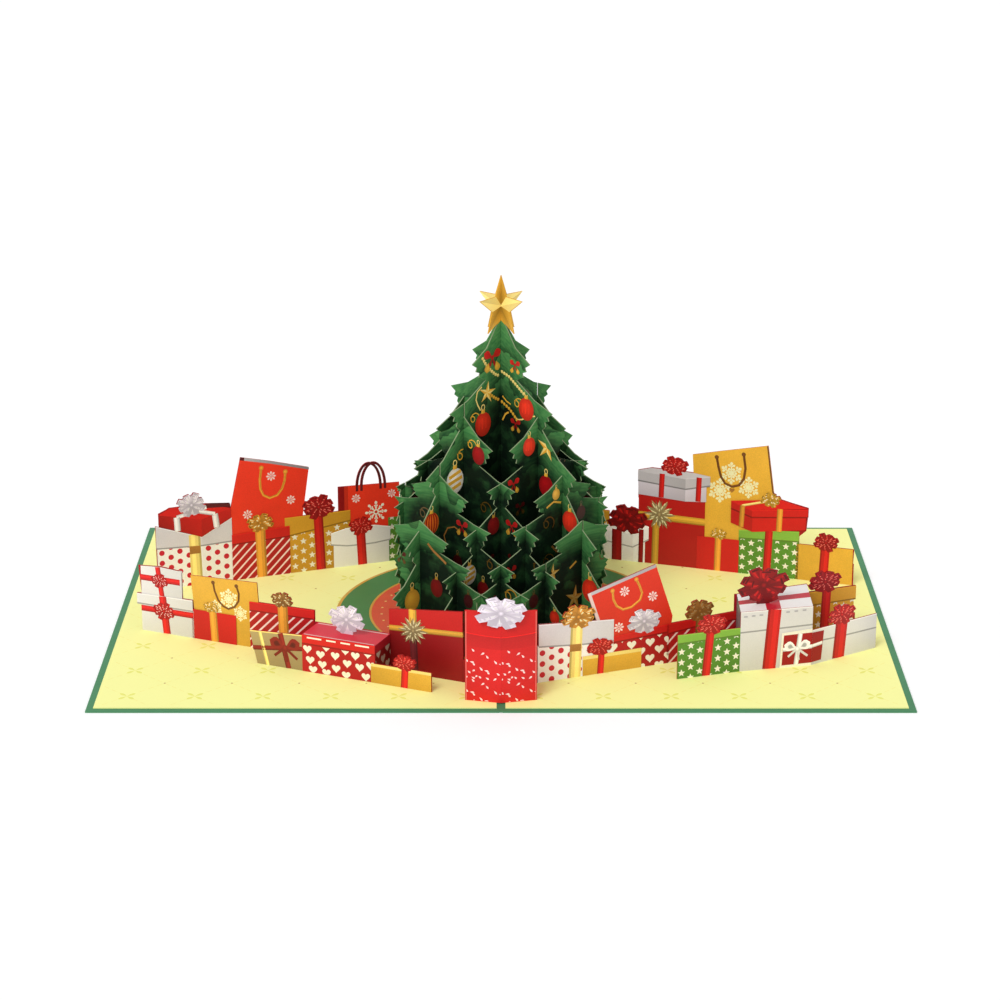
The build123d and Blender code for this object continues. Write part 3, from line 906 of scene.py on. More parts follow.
@dataclass(frozen=True)
class TiedBow(Mark):
    """A flat bow tied in a printed ribbon: two loops, hanging tails and a knot.

    Attributes:
        along: Distance of its middle along the face.
        up: Height of its middle.
        width: Overall width.
        ink: Colour.
        rank: How far in front of its neighbours it is printed.
    """

    along: float
    up: float
    width: float
    ink: Inks
    rank: int = 1

    def draw(self, sheet: PrintSheet, press: MotifPress) -> None:
        """Ink the tails, then the loops and the knot."""
        level = self.rank * RANK_STEP + 8
        reach = self.width / 2
        middle = (self.along, self.up)
        tails, loops = ((-38, 0.95), (-82, 0.85), (-140, 0.85)), (24, 160)
        for degrees, share in tails:
            turn = math.radians(degrees)
            tip = (self.along + reach * share * math.cos(turn), self.up + reach * share * math.sin(turn))
            sheet.ribbon([middle, tip], reach * 0.16, self.ink, level, 0.85)
        for degrees in loops:
            rim = petal_points(middle, math.radians(degrees), reach, reach * 0.36)
            heart = (sum(x for x, _ in rim) / len(rim), sum(y for _, y in rim) / len(rim))
            inner = [(heart[0] + (x - heart[0]) * 0.45, heart[1] + (y - heart[1]) * 0.45) for x, y in rim]
            sheet.fan(heart, rim, self.ink, level + 1, 0.9, 1.25)
            sheet.fan(heart, inner, self.ink, level + 2, 0.4, 0.6)
        sheet.fan(middle, oval(middle, reach * 0.16, reach * 0.18), self.ink, level + 3, 1.4, 0.9)


class Arms(Enum):
    """Leaves of one arm of a snowflake: start, length, half width and lean in degrees, and the arms."""

    BURST = (8, ((0.2, 0.8, 0.2, 0),))
    LACY = (8, ((0.2, 0.32, 0.09, 0), (0.46, 0.22, 0.07, 42), (0.46, 0.22, 0.07, -42), (0.58, 0.4, 0.13, 0)))
    LEAFY = (6, ((0.1, 0.55, 0.06, 0), (0.6, 0.4, 0.14, 0), (0.54, 0.38, 0.11, 58), (0.54, 0.38, 0.11, -58),
                 (0.26, 0.32, 0.09, 62), (0.26, 0.32, 0.09, -62)))


@dataclass(frozen=True)
class Flake(Mark):
    """A printed snowflake.

    Attributes:
        along: Distance of its middle along the face.
        up: Height of its middle.
        size: Its size.
        ink: Colour.
        arms: How its arms are made.
        rank: How far in front of its neighbours it is printed.
    """

    along: float
    up: float
    size: float
    ink: Inks = Inks.BLUSH_WHITE
    arms: Arms = Arms.BURST
    rank: int = 0

    def draw(self, sheet: PrintSheet, press: MotifPress) -> None:
        """Ink every leaf of every arm, and the middle."""
        level = self.rank * RANK_STEP + 2
        reach = self.size / 2
        count, leaves = self.arms.value
        for arm in range(count):
            turn = math.pi / 2 + 2 * math.pi * arm / count
            for start, length, half, lean in leaves:
                foot = (self.along + reach * start * math.cos(turn), self.up + reach * start * math.sin(turn))
                leaf = petal_points(foot, turn + math.radians(lean), reach * length, reach * half, 4)
                sheet.add(leaf, self.ink, level + arm * 0.1)
        middle = (self.along, self.up)
        sheet.add(oval(middle, reach * 0.26, reach * 0.26), self.ink, level + 1)
        if self.arms is not Arms.LEAFY:
            sheet.add(oval(middle, reach * 0.14, reach * 0.14), Inks.SCARLET, level + 1.3, 0.9)


@dataclass(frozen=True)
class Arch(Mark):
    """The print on a bag's open double handle, which is cut out of the sheet.

    Attributes:
        middle: Distance of its middle along the wall.
        foot: Height at which it leaves the bag.
        width: Overall width.
        rise: Height above its foot.
        ink: Colour.
        wire: Width of the cord.
        shift: Distance between the front loop and the rear one.
    """

    middle: float
    foot: float
    width: float
    rise: float
    ink: Inks
    wire: float = 1.1
    shift: float = 1.9

    def draw(self, sheet: PrintSheet, press: MotifPress) -> None:
        """Ink both loops, the front one over the other."""
        half, rise = (self.width - self.wire) / 2, self.rise - self.wire / 2
        turns = [math.pi * step / 20 for step in range(21)]
        for level, side, tone in ((0, 0.5, 0.75), (1, -0.5, 1.05)):
            middle = self.middle + side * self.shift
            path = [(middle + half * math.cos(turn), self.foot + rise * math.sin(turn)) for turn in turns]
            start, end = ((middle + side * half, self.foot - 1.6) for side in (1, -1))
            sheet.ribbon([start, *path, end], self.wire * 0.94, self.ink, level + 1, tone)


def level_normal(along: Vector, rear: bool = False) -> Vector:
    """Level direction square to a line in plan, towards the reader or away from them.

    Args:
        along: Direction of the line.
        rear: Whether it is to look away from the reader.

    Returns:
        The direction.
    """
    normal = Vector((along.y, -along.x, 0))
    return -normal if (normal.y > 0) != rear else normal


@dataclass(frozen=True)
class Wing:
    """One straight stretch of wall in plan, with what is printed on it.

    Attributes:
        start: Plan point that distances are counted from.
        end: Plan point of its other end.
        marks: What is printed on it, from the rear to the front.
    """

    start: Point
    end: Point
    marks: tuple[Mark, ...] = ()

    @property
    def angle(self) -> float:
        """Direction of the wing in plan."""
        return math.atan2(self.end[1] - self.start[1], self.end[0] - self.start[0])

    @property
    def length(self) -> float:
        """Length of the wing."""
        return math.dist(self.start, self.end)

    def point(self, along: float, across: float = 0.0) -> Point:
        """Plan point at a distance along the wing and to the left of its direction."""
        cos_a, sin_a = math.cos(self.angle), math.sin(self.angle)
        return (self.start[0] + along * cos_a - across * sin_a,
                self.start[1] + along * sin_a + across * cos_a)

    def face(self, rear: bool = False) -> Face:
        """The side of the wing that looks towards the reader, or the rear one."""
        along = Vector((math.cos(self.angle), math.sin(self.angle), 0))
        normal = level_normal(along, rear)
        origin = Vector((*self.start, PAGE_TOP)) + normal * SHEET_THICK / 2
        return Face(origin, along, UP, normal)

    def print_side(self, name: str, press: MotifPress, rear: bool = False) -> None:
        """Print everything on one side of the wing.

        Args:
            name: Name of the piece.
            press: Maker of repeated figures.
            rear: Whether it is the side that looks away from the reader.
        """
        sheet = PrintSheet(self.face(rear))
        for mark in self.marks:
            mark.draw(sheet, press)
        sheet.build(name, GIFT_SLOT)


BACK_LEFT = Wing((0, 75.0), (-138.0, 24.0), (
    Crate(((0, 0, 9), (39.2, 0, 9)), Inks.DARK_RED),
    Crate(((39.2, 0, 19), (49.6, 0, 19)), Inks.GREEN, wrap=STARS, glow=(0.6, 0.85)),
    Patch(((44.6, 0), (70.8, 0), (70.8, 34.6), (44.6, 33.8)), Inks.SCARLET, (1.0, 1.05, 1.25, 1.2)),
    Patch(((66.6, 0), (68.2, 0), (68.2, 34.5), (66.6, 34.5)), Inks.SCARLET, 0.82, 0, 1),
    Patch(((68.2, 0), (70.8, 0), (70.8, 34.6), (68.2, 34.5)), Inks.DARK_RED, 0.9, 0, 1),
    Arch(56.7, 33.4, 11.2, 10.4, Inks.MAROON),
    Flake(54.7, 22.0, 9.8, Inks.CREAM, Arms.LACY),
    Flake(63.2, 28.8, 4.0),
    Flake(47.9, 29.3, 3.8),
    Patch(((87.4, 14), (117.5, 14), (117.5, 24), (111.3, 51.8), (99, 48.9), (82.9, 44.5)), Inks.SCARLET,
          (1.1, 1.15, 1.2, 1.3, 1.28, 1.22)),
    Patch(((82.9, 43.5), (99, 47.8), (111.5, 50.6), (111.3, 51.8), (99, 48.9), (82.9, 44.5)), Inks.GREY,
          (0.42, 0.6, 0.9, 0.85, 0.6, 0.42), 0, 1),
    Patch(((109.8, 50.2), (111.6, 50.6), (111.3, 51.8), (109.6, 51.4)), Inks.MAROON, 0.7, 0, 1.5),
    Flake(98.8, 42.5, 4.2),
    Flake(90.8, 31.5, 4.0),
    Flake(109.0, 27.3, 4.2),
    Band(((102.8, 46.4), (103.5, 41.5), (103.4, 37.6), (102.2, 34.8), (99.6, 33.3), (96.4, 34.2),
          (94.4, 36.6), (93.2, 40.0), (92.8, 43.7)), 1.0, Inks.AMBER, 0, 6, knots=1.0),
    Crate(((65.8, 0, 20.0), (91.7, 0, 16.3)), Inks.MUSTARD,
          ((65.8, 20.0, 24.2), (93.6, 16.2, 24.0)), Inks.MUSTARD, STARS, (0.84, 1.04), 0.84),
    Band(((79.5, 24.0), (78.6, 0)), 4.0, Inks.RED, tone=0.82),
    Bow(79.2, 27.0, 14.4, 10.8, Inks.CHERRY),
    Crate(((91.6, 0, 16.4), (115.9, 0, 15.6)), Inks.CHERRY, ((91.6, 16.4, 20.6), (115.9, 15.6, 19.4)),
          Inks.RED, BACK_STRIPES, (1.0, 1.08), 0.9, rank=2),
    Band(((104.0, 20.0), (103.6, 0)), 4.2, Inks.AMBER, 2),
    Bow(103.9, 23.3, 11.9, 8.2, Inks.AMBER, Inks.VANILLA, Loops.BOXY, rank=2),
    Crate(((49.4, 0, 9.4), (55.5, 0, 9.0), (61.3, 0, 9.0), (67.5, 0, 9.2), (73.2, 0, 10.2)), Inks.WHITE,
          ((48.8, 9.8, 15.2), (55.5, 9.1, 16.6), (61.3, 9.0, 16.6), (67.5, 9.2, 16.6), (74.2, 10.4, 15.1)),
          Inks.WHITE, None, (0.8, 0.95, 0.95, 1.05, 1.1, 1.15, 1.15, 1.2), 0.86, rank=2),
    Band(((61.6, 15.5), (60.9, 0)), 3.9, Inks.RED, 2, tone=0.9),
    Bow(61.5, 16.8, 10.9, 8.4, Inks.RED, rank=2),
    Crate(((115.8, 0, 17.2), (128.2, 0, 16.8), (146.7, 0, 17.6)), Inks.WHITE,
          ((115.7, 17.2, 26.9), (128.2, 16.8, 20.2), (147.0, 17.6, 26.8)), Inks.GREY, DOTS,
          (1.16, 1.1, 1.22, 1.16), 0.97),
    Band(((131.3, 21.6), (130.7, 0)), 4.7, Inks.PALE_GOLD),
    Patch(((129.0, 13.4), (133.4, 13.4), (133.5, 16.8), (129.1, 16.6)), Inks.BRONZE, (0.9, 0.9, 1.1, 1.1),
          1, 5),
    Crate(((116.0, 26.9, 31.0), (128.2, 20.2, 27.6), (145.6, 26.8, 31.4)), Inks.RED,
          glow=(0.95, 0.8, 1.0, 0.62), deep=0.84, rank=2,
          roof=((116.0, 31.0), (128.2, 27.6), (145.7, 31.4), (141.1, 33.8), (125.8, 34))),
    Patch(((116.1, 31.7), (126.4, 32.2), (126.4, 34.0), (116.1, 33.0)), Inks.MAROON, 0.8, 2, 3.2),
    Band(((138.3, 29.7), (138.0, 23.8)), 2.5, Inks.WHITE, 2),
    Band(((122.6, 29.4), (121.9, 23.6)), 2.5, Inks.WHITE, 2),
    Band(((138.3, 29.7), (126.0, 32.6)), 1.6, Inks.WHITE, 2),
    Band(((122.6, 29.4), (134.0, 32.4)), 1.6, Inks.WHITE, 2),
    Bow(132.1, 34.2, 12.2, 10.2, Inks.LILAC, Inks.WHITE, Loops.SLIM, 0.85, 2),
))

BACK_RIGHT = Wing((0, 75.0), (142.0, 29.0), (
    Crate(((0, 0, 9), (30.0, 0, 9)), Inks.DARK_RED),
    Crate(((30.0, 0, 16.6), (47.0, 0, 16.8)), Inks.MUSTARD, ((30, 16.6, 21), (47, 16.8, 21)), Inks.MUSTARD,
          STARS),
    Patch(((84, 12), (118, 12), (115.6, 36.2), (112.8, 55.4), (92.9, 51.2), (81.7, 48.7)), Inks.GOLD,
          (1.0, 0.98, 1.1, 1.16, 1.16, 1.12)),
    Band(((115.9, 34.0), (115.2, 36.2), (112.5, 55.2)), 0.6, Inks.BROWN, 0, 1),
    Flake(97.9, 42.4, 9.6, Inks.VANILLA, Arms.LEAFY),
    Flake(93.4, 34.6, 10.6, Inks.VANILLA, Arms.LEAFY),
    Flake(105.2, 37.0, 9.4, Inks.VANILLA, Arms.LEAFY),
    Flake(108.5, 22.5, 9.0, Inks.VANILLA, Arms.LEAFY),
    Band(((91.7, 48.6), (92.5, 44.6), (93.6, 40.6), (95.4, 37.8), (98.3, 36.7), (101.2, 37.6),
          (103.1, 40.4), (103.7, 45.0), (102.8, 50.8)), 1.0, Inks.BROWN, 0, 6, knots=0.9),
    Patch(tuple(heart_points((98.3, 35.2), 2.3)), Inks.BRONZE, 1.0, 0, 7),
    Crate(((59.4, 0, 29.7), (87.4, 0, 29.0)), Inks.RED, glow=(0.84, 0.78), deep=0.8),
    Band(((59.4, 20.8), (87.4, 20.2)), 3.0, Inks.GOLD, tone=0.86),
    Band(((66.9, 20.4), (66.6, 0)), 2.8, Inks.GOLD, tone=0.7),
    Bow(68.3, 21.7, 13.6, 13.6, Inks.TAN, Inks.VANILLA, Loops.STAR),
    Crate(((59.2, 29.6, 35.8), (79.0, 28.4, 33.9), (87.8, 29.0, 36.3)), Inks.LILAC,
          ((59.0, 35.8, 39.9), (79.0, 33.9, 38.3), (89.3, 36.4, 40.1)), Inks.GREY, None,
          (0.95, 0.72, 0.98, 0.9), 0.82, ((59.0, 39.9), (79.0, 38.3), (89.3, 40.1), (82.2, 41.0),
                                          (64.6, 41.4)), 2),
    Band(((69.2, 39.3), (68.9, 29.1)), 2.2, Inks.RED, 2, tone=0.86),
    Band(((84.7, 39.2), (84.4, 28.9)), 2.2, Inks.RED, 2, tone=0.86),
    Bow(74.3, 43.0, 11.9, 8.4, Inks.RED, rank=2),
    Crate(((43.1, 0, 8.5), (57.6, 0, 6.6), (62.4, 0, 10.4)), Inks.WHITE,
          ((43.4, 8.5, 13.6), (57.2, 6.6, 12.4), (63.9, 10.6, 15.9)), Inks.WHITE, None,
          (1.25, 1.15, 1.3, 1.3), 0.95, ((43.5, 13.6), (57.2, 12.4), (63.9, 15.9), (54.0, 18.0)), 2),
    Band(((50.4, 13.4), (50.4, 0)), 4.2, Inks.DARK_RED, 2),
    Band(((60.8, 14.4), (60.6, 0)), 2.0, Inks.DARK_RED, 2, tone=0.8),
    Bow(54.8, 18.0, 17.9, 12.9, Inks.DARK_RED, Inks.RED, Loops.WIDE, rank=2),
    Crate(((84.3, 0, 14.2), (101.9, 0, 14.2)), Inks.RED, glow=(0.92, 1.06), deep=0.9, rank=2),
    Band(((93.2, 14.2), (93.0, 0)), 2.6, Inks.AMBER, 2),
    Bow(93.3, 16.0, 7.2, 5.2, Inks.GOLD, Inks.CREAM, Loops.BOXY, rank=2),
    Crate(((101.7, 0, 15.4), (126.6, 0, 16.4)), Inks.GREEN, ((101.7, 15.4, 18.6), (126.6, 16.4, 20.5)),
          Inks.LIME, STARS, (0.92, 1.05), 0.95),
    Band(((114.2, 19.4), (113.6, 0)), 3.2, Inks.RED, tone=0.86),
    Crate(((98.2, 21.4, 27.8), (107.2, 18.3, 24.8), (129.2, 21.4, 27.2)), Inks.RED,
          ((98.2, 27.8, 30.8), (107.0, 24.8, 27.6), (130.0, 27.2, 30.3)), Inks.RED, None,
          (0.9, 0.82, 1.1, 1.04), 0.96, ((98.2, 30.8), (107.0, 27.6), (130.0, 30.5), (118.7, 33.2)), 2),
    Band(((118.5, 29.3), (118.2, 19.6)), 2.3, Inks.AMBER, 2),
    Band(((103.0, 29.3), (102.6, 20.0)), 2.0, Inks.AMBER, 2, tone=0.8),
    Band(((102.8, 29.2), (113.0, 32.0)), 1.0, Inks.PALE_GOLD, 2),
    Bow(114.4, 32.7, 8.8, 6.6, Inks.GOLD, Inks.CREAM, Loops.BOXY, rank=2),
    Crate(((125.6, 0, 15.2), (148.8, 0, 15.2)), Inks.GOLD, glow=(0.9, 1.08), deep=0.86),
    Band(((137.5, 15.2), (136.9, 0)), 3.8, Inks.RED, tone=0.86),
    Bow(137.7, 16.9, 10.8, 8.2, Inks.CHERRY),
))

FRONT_LEFT = Wing((0, -79.0), (-138.0, -20.0), (
    Crate(((0, 0, 9), (15.2, 0, 9)), Inks.DARK_RED),
    Patch(((103.0, 0), (126.6, 0), (128.7, 25.6), (100.2, 26.6), (99.5, 15.0)), Inks.GOLD,
          (0.8, 0.84, 1.0, 1.0, 0.95)),
    Flake(112.5, 18.3, 8.4, Inks.VANILLA, Arms.LEAFY),
    Flake(118.4, 14.0, 6.4, Inks.VANILLA, Arms.LEAFY),
    Flake(107.6, 13.0, 6.4, Inks.VANILLA, Arms.LEAFY),
    Band(((119.0, 24.0), (118.4, 20.6), (117.0, 17.2), (115.0, 15.0), (112.7, 14.2), (110.0, 15.4),
          (108.2, 18.0), (108.0, 21.0), (109.0, 24.0)), 0.8, Inks.BROWN, 0, 6, knots=0.8),
    Crate(((15.0, 0, 17.6), (45.0, 0, 16.4)), Inks.DARK_RED, glow=(1.05, 0.7), deep=0.8),
    Crate(((15.2, 17.6, 27.7), (45.0, 16.4, 24.5)), Inks.RED, glow=(1.02, 0.84), deep=0.98),
    Band(((15.1, 18.7), (45.0, 17.2)), 2.1, Inks.GOLD, tone=0.8),
    Band(((35.4, 25.6), (35.2, 18.0)), 3.1, Inks.GOLD),
    Band(((35.2, 16.0), (34.6, 0)), 3.0, Inks.MAROON),
    Bow(35.2, 17.3, 12.8, 11.4, Inks.TAN, Inks.VANILLA, Loops.STAR),
    Crate(((44.0, 0, 14.6), (78.0, 0, 14.6)), Inks.CRIMSON, rank=0),
    Crate(((76.1, 0, 15.8), (103.6, 0, 15.4)), Inks.CHERRY, ((76.0, 15.8, 19.2), (103.6, 15.4, 18.7)),
          Inks.RED, BACK_STRIPES, (1.1, 0.95), 0.9),
    Band(((89.4, 19.0), (88.8, 0)), 4.2, Inks.AMBER),
    Bow(89.8, 21.2, 9.4, 6.4, Inks.BRONZE, Inks.VANILLA, Loops.BOXY),
    Crate(((109.4, 0, 12.0), (128.6, 0, 12.0)), Inks.RED, glow=(1.05, 0.9), deep=0.85, rank=2),
    Band(((119.3, 12.0), (118.7, 0)), 3.2, Inks.AMBER, 2),
    Bow(120.2, 13.9, 6.8, 4.8, Inks.GOLD, Inks.CREAM, Loops.BOXY, rank=2),
    Crate(((132.6, 15.0, 26.4), (142.0, 15.0, 27.0), (150.4, 15.0, 26.4)), Inks.WHITE,
          glow=(0.84, 0.9, 0.97, 1.0), deep=0.94),
    Band(((133.4, 21.8), (150.9, 21.8)), 2.4, Inks.RED),
    Band(((143.0, 26.8), (141.4, 14.8)), 2.2, Inks.RED),
    Bow(142.3, 21.3, 7.8, 6.2, Inks.RED, Inks.BLUSH_WHITE),
    Crate(((127.8, 0, 11.1), (150.6, 0, 11.1)), Inks.WHITE, ((128.1, 11.2, 15.4), (152.5, 11.2, 15.0)),
          Inks.WHITE, None, (0.84, 0.98), 0.88, rank=2),
    Band(((127.9, 9.2), (150.7, 9.2)), 2.4, Inks.RED, 2),
    Band(((141.2, 15.1), (139.7, 0)), 3.2, Inks.RED, 2),
    Bow(140.8, 9.1, 9.8, 7.8, Inks.RED, Inks.BLUSH_WHITE, rank=2),
))

FRONT_RIGHT = Wing((0, -79.0), (136.0, -25.0), (
    Crate(((0, 0, 9), (14.4, 0, 9)), Inks.DARK_RED),
    Patch(((41.2, 12.0), (68.0, 12.0), (68.9, 18.8), (61.6, 40.2), (34.2, 32.2)), Inks.SCARLET,
          (0.9, 0.9, 1.0, 1.08, 1.04)),
    Patch(((34.2, 32.2), (34.6, 31.0), (61.9, 39.0), (61.6, 40.2)), Inks.GREY, (0.95, 0.95, 0.7, 0.7), 0, 1),
    Patch(((34.2, 32.2), (35.4, 32.5), (41.8, 14.0), (40.4, 14.0)), Inks.BLUSH_WHITE, (0.9, 0.9, 0.7, 0.7),
          0, 1.3),
    Flake(49.1, 31.2, 4.2),
    Flake(60.6, 27.7, 4.2),
    Flake(47.0, 17.2, 4.2),
    Band(((44.2, 32.1), (44.6, 28.6), (46.0, 25.8), (48.6, 24.1), (52.0, 24.6), (55.4, 27.0), (56.2, 29.6),
          (55.2, 32.4), (53.8, 35.3)), 0.9, Inks.AMBER, 0, 6, knots=0.9),
    Crate(((14.4, 0, 14.4), (32.9, 0, 12.9), (44.9, 0, 12.6)), Inks.WHITE,
          ((14.8, 14.4, 22.9), (32.9, 12.9, 21.6), (44.9, 12.6, 20.8)), Inks.GREY, DOTS,
          (1.22, 1.18, 1.2, 1.12), 0.95),
    Band(((30.0, 21.8), (29.2, 0)), 4.8, Inks.PALE_GOLD),
    Patch(((27.1, 10.4), (31.6, 10.2), (31.8, 13.0), (27.3, 13.3)), Inks.BRONZE, (0.9, 0.9, 1.1, 1.1), 1, 5),
    Bow(30.6, 23.8, 14.4, 9.8, Inks.AMBER, Inks.VANILLA, Loops.BOXY),
    Crate(((44.6, 0, 11.8), (67.4, 0, 12.8)), Inks.CHERRY, ((44.8, 11.8, 13.9), (67.3, 12.8, 15.7)),
          Inks.RED, HEARTS, (1.0, 0.9), 0.85),
    Bow(57.2, 18.3, 14.4, 10.4, Inks.LILAC, Inks.WHITE, Loops.SLIM, 0.85),
    Crate(((66.8, 0, 12.0), (77.6, 0, 13.2), (99.0, 0, 14.0)), Inks.CHERRY,
          ((66.8, 12.0, 15.7), (77.6, 13.2, 16.2), (99.0, 14.0, 17.0)), Inks.RED, STRIPES,
          (0.85, 0.95, 1.1, 1.0), 0.9),
    Band(((80.6, 16.4), (80.0, 0)), 4.0, Inks.BRONZE),
    Bow(80.1, 19.2, 12.2, 9.2, Inks.BRONZE, Inks.TAN, Loops.BOXY, 0.8),
    Crate(((94.6, 0, 23.6), (125.2, 0, 23.6)), Inks.CRIMSON),
    Crate(((32.4, 0, 7.8), (56.2, 0, 7.8)), Inks.GOLD, glow=(0.96, 1.04), deep=0.82, rank=2),
    Patch(((32.4, 6.4), (56.2, 6.4), (56.2, 7.8), (32.4, 7.8)), Inks.PALE_GOLD, 1.0, 2, 1),
    Band(((39.9, 7.8), (39.5, 0)), 2.6, Inks.RED, 2),
    Bow(39.3, 10.8, 11.2, 7.4, Inks.RED, rank=2),
    Crate(((122.3, 0, 15.0), (145.4, 0, 15.0)), Inks.MUSTARD, ((122.3, 15.0, 20.2), (146.2, 15.2, 20.2)),
          Inks.MUSTARD, STARS, (0.8, 1.04), 0.9, rank=2),
    Band(((133.5, 20.2), (132.8, 0)), 3.9, Inks.RED, 2, tone=0.8),
    Bow(132.8, 23.5, 14.5, 9.2, Inks.CHERRY, rank=2),
))


@dataclass
class GiftWalls:
    """Everything printed on the two walls, the two rows and the tall box that stand before the tree.

    Attributes:
        press: Maker of repeated figures.
        stand_off: Distance of a row before its wall.
        row_start: Distance along the left wing at which the left row begins.
        row_length: Length of the left row.
        right_row: Plan corners of the right row.
        white_box_height: Height of the big white box.
        hearts: Near edge, far edge and height of the box with hearts.
        centre_half: Half of the tall box's width.
        centre_front: Plan depth of its outer edges.
        centre_crease: Plan depth of its crease over the fold.
        centre_height: Its height.
    """

    press: MotifPress
    stand_off: float = 13.4
    row_start: float = 93.0
    row_length: float = 72.0
    right_row: tuple[Point, ...] = ((65.1, -70.3), (88.8, -62.7), (116.2, -56.3), (142.4, -38.8))
    white_box_height: float = 23.6
    hearts: tuple[float, float, float] = (18.4, 48.4, 14.6)
    centre_half: float = 12.8
    centre_front: float = -90.0
    centre_crease: float = -93.0
    centre_height: float = 35.0

    def build(self) -> None:
        """Print the walls, the rows, the lids and sides, and the bows that are cut out by themselves."""
        for wing, name in ((BACK_LEFT, "back_wall_left"), (BACK_RIGHT, "back_wall_right"),
                           (FRONT_LEFT, "front_wall_left"), (FRONT_RIGHT, "front_wall_right")):
            wing.print_side(f"{name}_print_front", self.press)
            wing.print_side(f"{name}_print_rear", self.press, rear=True)
        self._left_row()
        self._hearts_box()
        self._right_rows()
        self._white_box()
        self._centre_box()
        self._standing_bows()

    def _row_wing(self, marks: tuple[Mark, ...] = ()) -> Wing:
        """Plan line of the left row, from its outer end."""
        return Wing(FRONT_LEFT.point(self.row_start, self.stand_off),
                    FRONT_LEFT.point(self.row_start - self.row_length, self.stand_off), marks)

    def _left_row(self) -> None:
        """Print the three gifts of the left row."""
        hearts = ((20.6, 9.2), (28.4, 11.0), (36.3, 10.9), (26.0, 7.8), (32.1, 8.2), (40.4, 9.5),
                  (45.5, 11.0), (21.7, 5.0), (26.7, 3.9), (37.0, 5.9), (32.4, 3.2), (42.1, 5.2),
                  (22.8, 1.3), (28.4, 0.9), (36.5, 1.2), (44.6, 1.8), (46.6, 6.6))
        near, far, height = self.hearts
        marks = [
            Patch(((-0.6, 0), (19.8, 0), (19.8, 14.2), (17.0, 14.2), (-3.6, 12.9)), Inks.TAN,
                  (0.8, 0.72, 0.92, 0.95, 1.0)),
            Band(((-3.4, 12.7), (19.6, 14.0)), 0.5, Inks.PALE_GOLD, 0, 1),
            Band(((0.7, 12.9), (3.8, 0)), 1.5, Inks.PALE_GOLD, 0),
            Band(((9.3, 13.6), (12.6, 0)), 2.2, Inks.RUST, 0, tone=1.1),
            Band(((-2.3, 6.2), (18.4, 8.7)), 1.8, Inks.RUST, 0),
            TiedBow(11.2, 8.1, 13.6, Inks.RUST, 0),
            Crate(((near, 0, 11.4), (far, 0, 11.4)), Inks.CHERRY, ((near, 11.4, height), (far, 11.4, height)),
                  Inks.RED, None, (1.1, 0.95), 0.92),
            Crate(((46.8, 0, 7.6), (71.2, 0, 7.6)), Inks.GOLD, glow=(0.86, 1.02), deep=0.8, rank=2),
            Patch(((46.8, 6.5), (71.2, 6.5), (71.2, 7.6), (46.8, 7.6)), Inks.PALE_GOLD, 1.0, 2, 1),
            Band(((60.7, 7.6), (60.3, 0)), 2.8, Inks.RED, 2),
            Bow(60.4, 9.8, 9.8, 6.4, Inks.RED, rank=2),
        ]
        for spot in hearts:
            outline = [(x, max(y, 0.1)) for x, y in heart_points(spot, 3.6)]
            marks.append(Patch(tuple(outline), Inks.CREAM, 0.95, 1, 1))
        for left, right in ((20.5, 26.5), (28.5, 32.4), (34.4, 38.3), (40.3, 46.1)):
            marks.append(Patch(tuple(box_points(left, 13.4, right, 14.0)), Inks.CREAM, 1.0, 1, 4))
        self._row_wing(tuple(marks)).print_side("left_row_print", self.press)

    def _hearts_box(self) -> None:
        """Print the lid and the right side of the box with hearts, the side darkened as painted shade."""
        row = self._row_wing()
        near, far, height = self.hearts
        depth = self.stand_off - SHEET_THICK / 2
        back = -row.face().normal
        lid = PrintSheet(Face(Vector((*row.point(near), PAGE_TOP + height)), row.face().along, back, UP))
        lid.panel(0, -SHEET_THICK / 2, far - near, depth, Inks.CRIMSON, 0, (1.3, 1.15))
        for low, high in ((0.2, 0.7), (depth - 1.2, depth - 0.6)):
            lid.panel(0.6, low, far - near - 0.6, high, Inks.BLUSH_WHITE, 1, (0.85, 0.7))
        lid.build("hearts_box_lid_print", GIFT_SLOT)
        side = PrintSheet(Face(Vector((*row.point(far), PAGE_TOP)), back, UP, row.face().along))
        # Painted shade: the side, its hearts and its lid band are darkened.
        side.panel(0, 0, depth, height, Inks.DARK_RED, 0, (0.6, 0.45))
        HEARTS.cover(side, self.press, box_points(0.2, 0.2, depth - 0.2, height - 3.4), 1, 0.45)
        side.panel(0, height - 3.2, depth, height, Inks.CRIMSON, 2, (0.7, 0.6))
        side.build("hearts_box_side_print", GIFT_SLOT)

